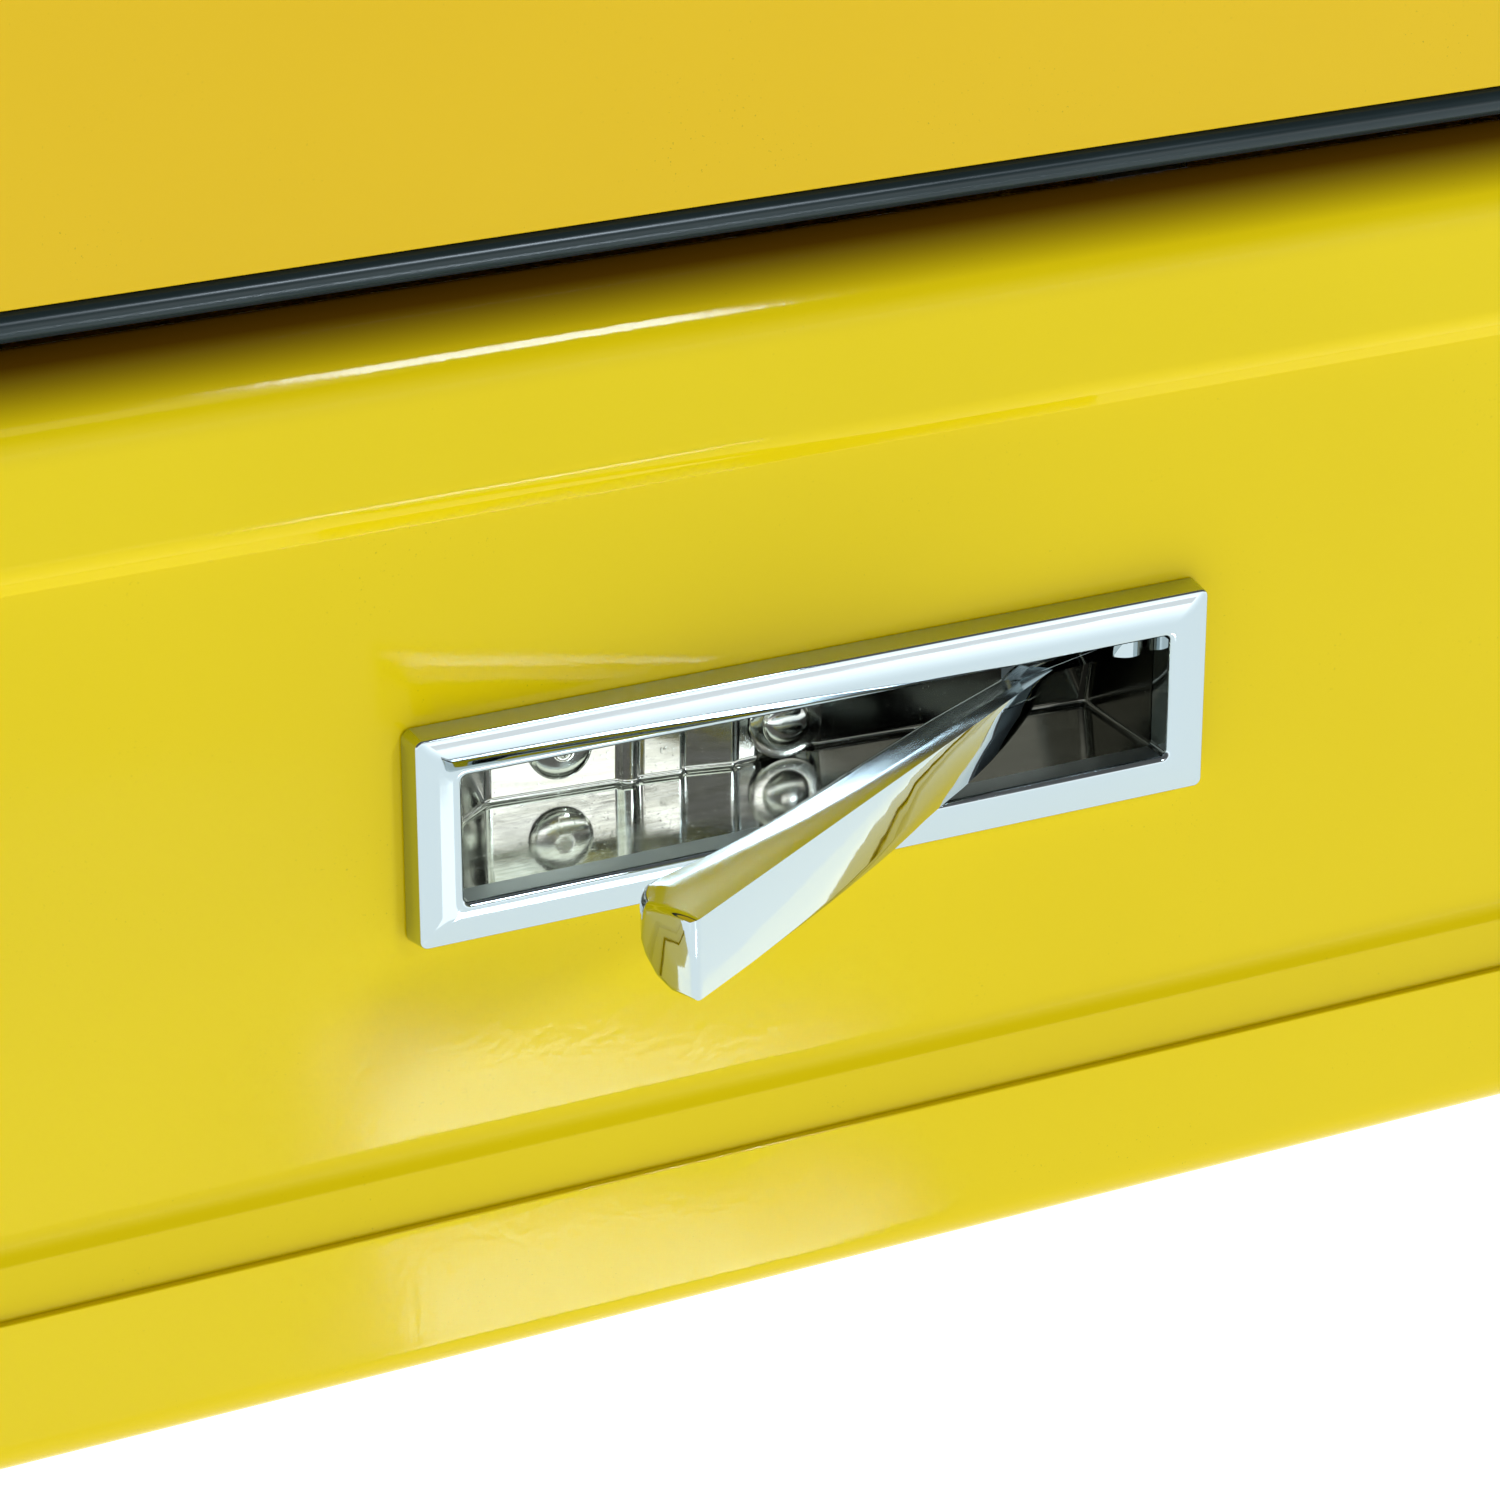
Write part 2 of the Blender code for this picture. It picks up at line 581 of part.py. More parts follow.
def latch_drive():
    """The upright shaft, the cam that grips the strike, the shaft's guide and the strike."""
    centre = (PIVOT_X, PIVOT_Y)
    shaft = prism(circle(centre, SHAFT_RADIUS), LATCH_Z + NECK_LOW - 0.0002, CAM_Z + CAM_THICKNESS + 0.002)
    add_object("latch_shaft", shaft, ZINC, lever_axis)

    bore = SHAFT_RADIUS + GAP
    hub = prism(circle(centre, 0.0040), CAM_Z, CAM_Z + CAM_THICKNESS)
    cam = add_object("latch_cam", hub, ZINC, lever_axis)
    direction = Vector((math.cos(CAM_ANGLE), math.sin(CAM_ANGLE)))
    side = Vector((-direction.y, direction.x))
    finger = []
    for along, across in ((0.0026, 0.0026), (0.0026, -0.0026), (1.0, -0.0017), (1.0, 0.0017)):
        reach = CAM_LENGTH if along == 1.0 else along
        point = Vector(centre) + direction * reach + side * across
        finger.append((point.x, point.y))
    cut(cam, "cam_finger", prism(finger, CAM_Z, CAM_Z + CAM_THICKNESS), "UNION")
    cut(cam, "cam_bore", prism(circle(centre, bore), CAM_Z - 0.002, CAM_Z + 0.006))

    band_inside = -BODY_DEPTH / 2 + SHEET + GAP
    low = (PIVOT_X - GUIDE_HALF_LENGTH, band_inside, GUIDE_Z[0])
    block = box(low, (PIVOT_X + GUIDE_HALF_LENGTH, GUIDE_BACK_Y, GUIDE_Z[1]))
    guide = add_object("shaft_guide", block, ZINC)
    cut(guide, "guide_bore", prism(circle(centre, bore), GUIDE_Z[0] - 0.002, GUIDE_Z[1] + 0.002))

    lid_inside = -BODY_DEPTH / 2 + LID_INSET + SHEET + GAP
    drop_back = STRIKE_DROP_Y + STRIKE_THICKNESS
    strike = [
        (lid_inside, STRIKE_TOP),
        (lid_inside, STRIKE_FOOT),
        (STRIKE_DROP_Y, STRIKE_FOOT),
        (STRIKE_DROP_Y, STRIKE_HOOK_Z[1]),
        (STRIKE_HOOK_Y, STRIKE_HOOK_Z[1]),
        (STRIKE_HOOK_Y, STRIKE_HOOK_Z[0]),
        (drop_back, STRIKE_HOOK_Z[0]),
        (drop_back, STRIKE_FOOT + STRIKE_THICKNESS),
        (lid_inside + STRIKE_THICKNESS, STRIKE_FOOT + STRIKE_THICKNESS),
        (lid_inside + STRIKE_THICKNESS, STRIKE_TOP),
    ]
    add_object("latch_strike", prism(strike, *STRIKE_X, "X"), ZINC, lid_axis)


# ---- carry handle -----------------------------------------------------------------------------
def handle_centre_line(span, reach, pivot_y, pivot_z, corner):
    """A bail lying flat: pivot stub, arm, rounded corner, cross bar, and the same mirrored."""
    half = span / 2
    front = pivot_y - reach
    right = [(half - 0.010, pivot_y)]
    right += [(x, y) for x, y in arc((half - 0.004, pivot_y - 0.004), 0.004, 90, 0, 3)]
    right += [(x, y) for x, y in arc((half - corner, front + corner), corner, 0, -90, 5)]
    left = [(-x, y) for x, y in reversed(right)]
    return [(x, y, pivot_z) for x, y in right + left]


def carry_handle():
    corner = 0.014
    line = handle_centre_line(HANDLE_SPAN + 0.020, HANDLE_REACH, HANDLE_PIVOT_Y, HANDLE_PIVOT_Z, corner)
    add_object("carry_handle_bail", round_bar(line, HANDLE_ROD), CHROME, handle_axis)
    grip_y = HANDLE_PIVOT_Y - HANDLE_REACH
    grip = bmesh.new()
    centre = (grip_y, HANDLE_PIVOT_Z)
    inner = HANDLE_ROD + GAP
    half = HANDLE_SPAN / 2 - 0.016
    rings = []
    for x, radius in ((-half, 0.0068), (-half + 0.004, 0.0082), (half - 0.004, 0.0082), (half, 0.0068)):
        rings.append([(x, a, b) for a, b in circle(centre, radius)])
    for x in (half, -half):
        rings.append([(x, a, b) for a, b in circle(centre, inner)])
    loft(rings, closed=True, into=grip)
    add_object("carry_handle_grip", grip, BLACK_GRIP, handle_axis)

    lid_face = LID_TOP + LID_PANEL_RISE + GAP
    for side, sign in (("left", -1), ("right", 1)):
        x = sign * (HANDLE_SPAN / 2 - 0.0005)
        half_width = 0.0045
        strap = [
            (HANDLE_PIVOT_Y - 0.0200, lid_face),
            (HANDLE_PIVOT_Y + 0.0200, lid_face),
            (HANDLE_PIVOT_Y + 0.0200, lid_face + 0.0016),
            (HANDLE_PIVOT_Y + 0.0090, lid_face + 0.0016),
        ]
        strap += arc((HANDLE_PIVOT_Y, HANDLE_PIVOT_Z), 0.0066, 20, 160, 6)
        strap += [
            (HANDLE_PIVOT_Y - 0.0090, lid_face + 0.0016),
            (HANDLE_PIVOT_Y - 0.0200, lid_face + 0.0016),
        ]
        mesh_data = prism(strap, x - half_width, x + half_width, "X")
        bracket = add_object(f"carry_handle_bracket_{side}", mesh_data, ZINC, lid_axis)
        bore = prism(
            circle((HANDLE_PIVOT_Y, HANDLE_PIVOT_Z), HANDLE_ROD + GAP), x - 0.006, x + 0.006, "X"
        )
        cut(bracket, f"bracket_bore_{side}", bore)
        for end, offset in (("front", -0.0150), ("back", 0.0150)):
            place = (x, HANDLE_PIVOT_Y + offset, lid_face + 0.0016 + GAP)
            rivet(f"carry_handle_rivet_{side}_{end}", place, 0.0030, 0.0016, "Z", 1, ZINC, lid_axis)


# ---- lid stays --------------------------------------------------------------------------------
def stay_arms():
    """A slotted arm each side: pivoted on the lid and sliding over a pin on the body."""
    hinge = Vector((HINGE_AXIS_Y, HINGE_AXIS_Z))
    top = hinge + STAY_LID_PIVOT
    pin = hinge + STAY_BODY_PIN
    down = (pin - top).normalized()
    across = Vector((-down.y, down.x))
    shut = (pin - top).length
    swing = math.atan2(STAY_LID_PIVOT.x * STAY_BODY_PIN.y - STAY_LID_PIVOT.y * STAY_BODY_PIN.x,
                       STAY_LID_PIVOT.dot(STAY_BODY_PIN))
    opened = 2 * STAY_BODY_PIN.length * math.sin((abs(swing) + LID_OPEN_ANGLE) / 2)
    slot_end = opened + STAY_SLOT_HALF_WIDTH
    arm_end = slot_end + 0.005
    half_arm = 0.0065

    def stadium(start, end, half):
        """A straight bar's outline with round ends, start and end its end centres."""
        facing = math.degrees(math.atan2(down.y, down.x))
        first = top + down * start
        last = top + down * end
        outline = arc(first, half, facing + 90, facing + 270, 8)
        outline += arc(last, half, facing - 90, facing + 90, 8)
        return outline

    for side, sign, axis in (("left", -1, stay_left_axis), ("right", 1, stay_right_axis)):
        low = sign * STAY_PLANE_X - STAY_THICKNESS / 2
        high = sign * STAY_PLANE_X + STAY_THICKNESS / 2
        arm = add_object(
            f"stay_arm_{side}", prism(stadium(0.0, arm_end - half_arm, half_arm), low, high, "X"), ZINC, axis
        )
        slot_low, slot_high = low - 0.001, high + 0.001
        slot = prism(stadium(shut - 0.0004, opened + 0.0004, STAY_SLOT_HALF_WIDTH), slot_low, slot_high, "X")
        cut(arm, f"stay_slot_{side}", slot)
        pivot_hole = prism(circle(top, STAY_PIN_RADIUS + GAP), slot_low, slot_high, "X")
        cut(arm, f"stay_pivot_hole_{side}", pivot_hole)

        lid_wall = BODY_LENGTH / 2 - LID_INSET - SHEET - GAP
        body_wall = BODY_LENGTH / 2 - PANEL_INSET - SHEET - GAP
        stay_stud(f"stay_lid_stud_{side}", sign, lid_wall, top, lid_axis)
        stay_stud(f"stay_body_stud_{side}", sign, body_wall, pin, None)


def stay_stud(name, sign, wall, centre, parent):
    """A shouldered stud: foot on the wall, spacer, pin through the arm and a head."""
    arm_face = STAY_PLANE_X + STAY_THICKNESS / 2
    head_face = STAY_PLANE_X - STAY_THICKNESS / 2 - 0.0004
    steps = [
        (0.0075, wall),
        (0.0075, wall - 0.0016),
        (0.0042, wall - 0.0016),
        (0.0042, arm_face + 0.0004),
        (STAY_PIN_RADIUS, arm_face + 0.0004),
        (STAY_PIN_RADIUS, head_face),
        (0.0042, head_face),
        (0.0036, head_face - 0.0016),
    ]
    sections = [[(sign * x, y, z) for y, z in circle(centre, radius)] for radius, x in steps]
    add_object(name, loft(sections), ZINC, parent)


# ---- tray -------------------------------------------------------------------------------------
def tray_loop(inset, z):
    half_x = TRAY_LENGTH / 2 - inset
    half_y = TRAY_DEPTH / 2 - inset
    return rounded_rectangle(half_x, half_y, TRAY_CORNER_RADIUS - inset, z)


def tray_pan():
    """An open pan with a rolled rim."""
    wall_inset = 0.0030
    rim = [
        (0.0, TRAY_TOP_Z - 0.0030),
        (0.0, TRAY_TOP_Z - 0.0008),
        (0.0008, TRAY_TOP_Z),
        (wall_inset + TRAY_WALL, TRAY_TOP_Z),
    ]
    outside = [
        (wall_inset + 0.002, TRAY_FLOOR_Z),
        (wall_inset, TRAY_FLOOR_Z + 0.002),
        (wall_inset, TRAY_TOP_Z - TRAY_WALL),
        (TRAY_WALL, TRAY_TOP_Z - TRAY_WALL),
        (TRAY_WALL, TRAY_TOP_Z - 0.0030),
    ]
    inside = [
        (wall_inset + TRAY_WALL, TRAY_FLOOR_Z + 0.002),
        (wall_inset + 0.002 + TRAY_WALL, TRAY_FLOOR_Z + TRAY_WALL),
    ]
    profile = outside + rim + inside
    mesh_data = loft([tray_loop(inset, z) for inset, z in profile])
    add_object("tray_pan", mesh_data, TRAY_PAINT, tray_axis)


def tray_dividers():
    """A long divider off centre and three cross dividers, each with a folded foot."""
    floor = TRAY_FLOOR_Z + TRAY_WALL + GAP
    top = TRAY_TOP_Z - 0.0040
    inside_x = TRAY_LENGTH / 2 - 0.0030 - TRAY_WALL - 0.0006
    inside_y = TRAY_DEPTH / 2 - 0.0030 - TRAY_WALL - 0.0006
    thick = DIVIDER_THICKNESS
    foot = 0.0080
    long_section = [
        (0.0, floor),
        (foot, floor),
        (foot, floor + thick),
        (thick, floor + thick),
        (thick, TRAY_TOP_Z - 0.0005),
        (0.0, TRAY_TOP_Z - 0.0005),
    ]
    half_corner = 0.006
    mesh_data = prism(long_section, -inside_x + half_corner, inside_x - half_corner, "X")
    add_object("tray_long_divider", mesh_data, TRAY_PAINT, tray_axis)
    back_edge = inside_y - half_corner
    front_edge = -inside_y + half_corner
    crossings = (
        ("tray_cross_divider_1", -0.110, front_edge, -GAP),
        ("tray_cross_divider_2", 0.060, front_edge, -GAP),
        ("tray_cross_divider_3", -0.030, foot + GAP, back_edge),
    )
    for name, x, low, high in crossings:
        section = [
            (x, floor),
            (x + foot, floor),
            (x + foot, floor + thick),
            (x + thick, floor + thick),
            (x + thick, top),
            (x, top),
        ]
        add_object(name, prism(section, low, high, "Y"), TRAY_PAINT, tray_axis)


def tray_handle():
    """A wire bail on two ears, folding flat over the front compartments."""
    pivot_y = DIVIDER_THICKNESS / 2
    line = handle_centre_line(
        TRAY_HANDLE_SPAN, TRAY_HANDLE_REACH, pivot_y, TRAY_HANDLE_PIVOT_Z + 0.0040, 0.010
    )
    add_object("tray_handle_bail", round_bar(line, TRAY_HANDLE_ROD, 8), CHROME, tray_handle_axis)
    pivot_z = TRAY_HANDLE_PIVOT_Z + 0.0040
    for side, sign in (("left", -1), ("right", 1)):
        x = sign * (TRAY_HANDLE_SPAN / 2 - 0.0085)
        ear = [
            (DIVIDER_THICKNESS + GAP, 0.1300),
            (DIVIDER_THICKNESS + GAP + 0.0012, 0.1300),
            (DIVIDER_THICKNESS + GAP + 0.0012, TRAY_TOP_Z),
        ]
        ear += arc((pivot_y, pivot_z), 0.0048, -40, 220, 10)
        ear += [(DIVIDER_THICKNESS + GAP, TRAY_TOP_Z)]
        mesh_data = prism(ear, x - 0.0015, x + 0.0015, "X")
        bracket = add_object(f"tray_handle_ear_{side}", mesh_data, ZINC, tray_axis)
        bore = prism(circle((pivot_y, pivot_z), TRAY_HANDLE_ROD + GAP), x - 0.003, x + 0.003, "X")
        cut(bracket, f"ear_bore_{side}", bore)


def tray_rests():
    """Four ledges fixed to the front and back walls, which the tray stands on."""
    wall = BODY_DEPTH / 2 - PANEL_INSET - SHEET - GAP
    top = TRAY_FLOOR_Z - GAP
    section = [
        (wall, top - 0.0150),
        (wall, top),
        (wall - 0.0340, top),
        (wall - 0.0340, top - 0.0014),
        (wall - 0.0014, top - 0.0014),
        (wall - 0.0014, top - 0.0150),
    ]
    for row, sign in (("front", -1), ("back", 1)):
        for side, x in (("left", -0.190), ("right", 0.190)):
            outline = [(sign * y, z) for y, z in section]
            mesh_data = prism(outline, x - 0.022, x + 0.022, "X")
            add_object(f"tray_rest_{row}_{side}", mesh_data, ZINC)
            place = (x, top - 0.0085, sign * (wall - 0.0014 - GAP))
            rivet(f"tray_rest_rivet_{row}_{side}", place, 0.0032, 0.0014, "Y", -sign, ZINC)


clear_scene()
lid_axis = joint_empty("lid_axis", (0.0, HINGE_AXIS_Y, HINGE_AXIS_Z))
lever_axis = joint_empty("lever_axis", (PIVOT_X, PIVOT_Y, LATCH_Z))
handle_axis = joint_empty("handle_axis", (0.0, HANDLE_PIVOT_Y, HANDLE_PIVOT_Z))
tray_axis = joint_empty("tray_axis", (0.0, 0.0, TRAY_FLOOR_Z))
tray_handle_axis = joint_empty("tray_handle_axis", (0.0, DIVIDER_THICKNESS / 2, TRAY_HANDLE_PIVOT_Z + 0.004))
stay_place = (HINGE_AXIS_Y + STAY_LID_PIVOT.x, HINGE_AXIS_Z + STAY_LID_PIVOT.y)
stay_left_axis = joint_empty("stay_left_axis", (-STAY_PLANE_X, *stay_place))
stay_right_axis = joint_empty("stay_right_axis", (STAY_PLANE_X, *stay_place))

body_shell()
base_pan()
lid_shell()
lid_seal()
rear_hinges()
hinge_rivets()
latch_bezel()
latch_cup()
cup_rivets()
latch_lever()
latch_drive()
carry_handle()
stay_arms()
tray_pan()
tray_dividers()
tray_handle()
tray_rests()
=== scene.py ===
"""Looks of the yellow sheet-steel toolbox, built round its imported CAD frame.

Metres, in the CAD frame: X along the box, -Y out of the front, +Z up, Z = 0 under the base pan.
The body, base pan, lid, trim, latch and handles are rebuilt here at fine resolution. The small
fittings are refined copies of their CAD nodes, with their edges broken.
"""

import json
import math

import bmesh
import bpy
from mathutils import Matrix, Vector


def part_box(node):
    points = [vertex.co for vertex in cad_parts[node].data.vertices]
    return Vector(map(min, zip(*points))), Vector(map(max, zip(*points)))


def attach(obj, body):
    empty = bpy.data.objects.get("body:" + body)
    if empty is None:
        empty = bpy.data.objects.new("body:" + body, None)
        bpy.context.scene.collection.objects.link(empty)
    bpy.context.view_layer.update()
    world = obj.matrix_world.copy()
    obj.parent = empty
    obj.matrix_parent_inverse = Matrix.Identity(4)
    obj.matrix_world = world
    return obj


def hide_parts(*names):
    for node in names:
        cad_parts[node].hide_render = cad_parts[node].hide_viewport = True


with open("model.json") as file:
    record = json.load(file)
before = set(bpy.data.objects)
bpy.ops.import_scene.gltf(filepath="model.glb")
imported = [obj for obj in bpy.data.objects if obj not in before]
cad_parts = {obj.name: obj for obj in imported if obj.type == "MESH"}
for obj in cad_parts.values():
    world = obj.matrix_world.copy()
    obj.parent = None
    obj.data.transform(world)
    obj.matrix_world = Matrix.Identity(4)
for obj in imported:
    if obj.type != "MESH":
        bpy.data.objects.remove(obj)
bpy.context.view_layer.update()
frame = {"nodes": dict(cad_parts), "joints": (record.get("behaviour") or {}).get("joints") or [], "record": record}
MM = 0.001
GAP = 0.3 * MM
SHARP = 28

# ---- places read from the frame ---------------------------------------------------------------
BODY_LOW, BODY_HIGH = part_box("body_shell")
PAN_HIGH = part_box("base_pan")[1]
LID_LOW, LID_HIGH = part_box("lid_shell")
SEAL_LOW, SEAL_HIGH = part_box("lid_seal")
BEZEL_LOW, BEZEL_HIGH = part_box("latch_bezel")
CUP_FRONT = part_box("latch_cup")[0].y
GRIP_LOW, GRIP_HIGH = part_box("carry_handle_grip")
JOINTS = {joint["name"]: joint for joint in frame["joints"]}
PIVOT = Vector(JOINTS["lever_swing"]["pos_m"])
HANDLE_PIVOT = Vector(JOINTS["carry_handle_fold"]["pos_m"])
TRAY_HANDLE_PIVOT = Vector(JOINTS["tray_handle_fold"]["pos_m"])

HALF_LENGTH = BODY_HIGH.x
HALF_DEPTH = BODY_HIGH.y
LATCH_Z = (BEZEL_LOW.z + BEZEL_HIGH.z) / 2

# ---- shapes, in metres ------------------------------------------------------------------------
CORNER_RADIUS = 22 * MM
CORNER_SEGMENTS = 14
SHEET = 1.2 * MM
PANEL_INSET = 2.5 * MM

SHOULDER_START = 145.2 * MM
SHOULDER_RADIUS = 13.0 * MM
SHOULDER_SWEEP = 78
HEM_WIDTH = 0.6 * MM
HEM_DEPTH = 6.0 * MM

SHAFT_BORE = 2.2 * MM
LEVER_ANGLE = math.radians(32.3)
LEVER_LENGTH = 113.0 * MM
LEVER_OFFSET = 4.2 * MM
LEVER_TOP = 5.85 * MM
NECK_LOW = 5.0 * MM
NECK_HIGH = 8.2 * MM
BARREL_RADIUS = 2.9 * MM

CUP_HALF_LENGTH = 56 * MM
CUP_HALF_HEIGHT = 9.85 * MM
CUP_WALL = 0.9 * MM


# ---- mesh helpers -----------------------------------------------------------------------------
def make_piece(name, mesh_data, material, body, replaced=(), sharp=SHARP):
    """A smooth-shaded object riding on a body, standing for the CAD nodes it replaces."""
    bmesh.ops.recalc_face_normals(mesh_data, faces=mesh_data.faces)
    mesh = bpy.data.meshes.new(name)
    mesh_data.to_mesh(mesh)
    mesh_data.free()
    piece = bpy.data.objects.new(name, mesh)
    bpy.context.scene.collection.objects.link(piece)
    mesh.materials.append(material)
    mesh.shade_smooth()
    mesh.set_sharp_from_angle(angle=math.radians(sharp))
    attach(piece, body)
    if replaced:
        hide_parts(*replaced)
    return piece


def bevel(piece, width, segments=3, angle=SHARP):
    """Rounds every edge that bends by more than angle."""
    modifier = piece.modifiers.new("edges", "BEVEL")
    modifier.width = width
    modifier.segments = segments
    modifier.limit_method = "ANGLE"
    modifier.angle_limit = math.radians(angle)
    modifier.harden_normals = False
    return piece


def flat_panels(piece, smallest):
    """Keeps every face wider than smallest truly flat, so long reflections stay straight."""
    for face in piece.data.polygons:
        if face.area > smallest:
            face.use_smooth = False
    return piece


def combine(piece, other_mesh, operation):
    """Boolean a mesh into piece and apply it at once."""
    bmesh.ops.recalc_face_normals(other_mesh, faces=other_mesh.faces)
    mesh = bpy.data.meshes.new("tool")
    other_mesh.to_mesh(mesh)
    other_mesh.free()
    tool = bpy.data.objects.new("tool", mesh)
    bpy.context.scene.collection.objects.link(tool)
    modifier = piece.modifiers.new("tool", "BOOLEAN")
    modifier.operation = operation
    modifier.solver = "EXACT"
    modifier.object = tool
    bpy.context.view_layer.update()
    graph = bpy.context.evaluated_depsgraph_get()
    result = bpy.data.meshes.new_from_object(piece.evaluated_get(graph))
    piece.modifiers.clear()
    piece.data = result
    bpy.data.objects.remove(tool)
    result.shade_smooth()
    result.set_sharp_from_angle(angle=math.radians(SHARP))


def loft(sections, closed=False, into=None):
    """A solid through point loops of equal length, capped at both ends unless closed."""
    mesh_data = into or bmesh.new()
    loops = [[mesh_data.verts.new(point) for point in section] for section in sections]
    pairs = list(zip(loops, loops[1:]))
    if closed:
        pairs.append((loops[-1], loops[0]))
    for lower, upper in pairs:
        count = len(lower)
        for index in range(count):
            after = (index + 1) % count
            mesh_data.faces.new((lower[index], lower[after], upper[after], upper[index]))
    if not closed:
        mesh_data.faces.new(loops[0])
        mesh_data.faces.new(loops[-1])
    return mesh_data


def arc(centre, radius, start, end, segments):
    """Points round a centre between two angles in degrees."""
    points = []
    for step in range(segments + 1):
        angle = math.radians(start + (end - start) * step / segments)
        points.append((centre[0] + radius * math.cos(angle), centre[1] + radius * math.sin(angle)))
    return points


def circle(centre, radius, segments=32):
    return arc(centre, radius, 0, 360 - 360 / segments, segments - 1)


def rounded_rectangle(half_x, half_y, radius, segments=CORNER_SEGMENTS):
    radius = max(radius, 0.4 * MM)
    points = []
    for corner, (side_x, side_y) in enumerate(((1, 1), (-1, 1), (-1, -1), (1, -1))):
        centre = (side_x * (half_x - radius), side_y * (half_y - radius))
        points += arc(centre, radius, 90 * corner, 90 * corner + 90, segments)
    return points


def swept(profile, closed):
    """The box's plan outline swept through (inset, height) pairs."""
    sections = []
    for inset, z in profile:
        outline = rounded_rectangle(HALF_LENGTH - inset, HALF_DEPTH - inset, CORNER_RADIUS - inset)
        sections.append([(x, y, z) for x, y in outline])
    return loft(sections, closed)


def bend(corner, radius, start, end, segments=7):
    """A rounded bend in a rising wall, whose straight lines would meet at corner.

    The leans before and after it are in degrees from the vertical, towards the inside of the box.
    """
    reach = radius * math.tan(math.radians(abs(end - start)) / 2)
    begin = Vector(corner) - reach * Vector((math.sin(math.radians(start)), math.cos(math.radians(start))))
    points = [tuple(begin)]
    place = begin
    turn = (end - start) / segments
    chord = 2 * radius * math.sin(math.radians(abs(turn)) / 2)
    for step in range(segments):
        heading = math.radians(start + turn * (step + 0.5))
        place = place + chord * Vector((math.sin(heading), math.cos(heading)))
        points.append(tuple(place))
    return points


def prism(outline, low, high, axis="Z"):
    """An outline pushed straight from low to high along an axis."""
    place = {
        "Z": lambda a, b, c: (a, b, c),
        "X": lambda a, b, c: (c, a, b),
        "Y": lambda a, b, c: (a, c, b),
    }[axis]
    return loft([[place(a, b, level) for a, b in outline] for level in (low, high)])


def tube(points, radius, segments=24):
    """A round bar along a bent centre line lying in a level plane, with softened ends."""
    end_length = 0.6 * MM
    end_scale = 0.80
    directions = []
    for index, point in enumerate(points):
        here = Vector(point)
        before = here - Vector(points[max(index - 1, 0)])
        after = Vector(points[min(index + 1, len(points) - 1)]) - here
        directions.append((before.normalized() + after.normalized()).normalized())
    sections = []
    rise = Vector((0.0, 0.0, 1.0))
    for index, (point, along) in enumerate(zip(points, directions)):
        side = along.cross(rise).normalized()
        steps = [(0.0, 1.0)]
        if index == 0:
            steps = [(0.0, end_scale), (end_length, 1.0)]
        if index == len(points) - 1:
            steps = [(-end_length, 1.0), (0.0, end_scale)]
        for shift, scale in steps:
            centre = Vector(point) + along * shift
            section = []
            for step in range(segments):
                angle = math.tau * step / segments
                section.append(centre + radius * scale * (math.cos(angle) * side + math.sin(angle) * rise))
            sections.append(section)
    return loft(sections)


def turned(profile, centre, axis="X", segments=40, closed=True):
    """A turned piece from (distance along the axis, radius) pairs."""
    sections = []
    for along, radius in profile:
        ring = circle((0.0, 0.0), radius, segments)
        if axis == "X":
            sections.append([(along, centre[0] + a, centre[1] + b) for a, b in ring])
        elif axis == "Y":
            sections.append([(centre[0] + a, along, centre[1] + b) for a, b in ring])
        else:
            sections.append([(centre[0] + a, centre[1] + b, along) for a, b in ring])
    return loft(sections, closed)


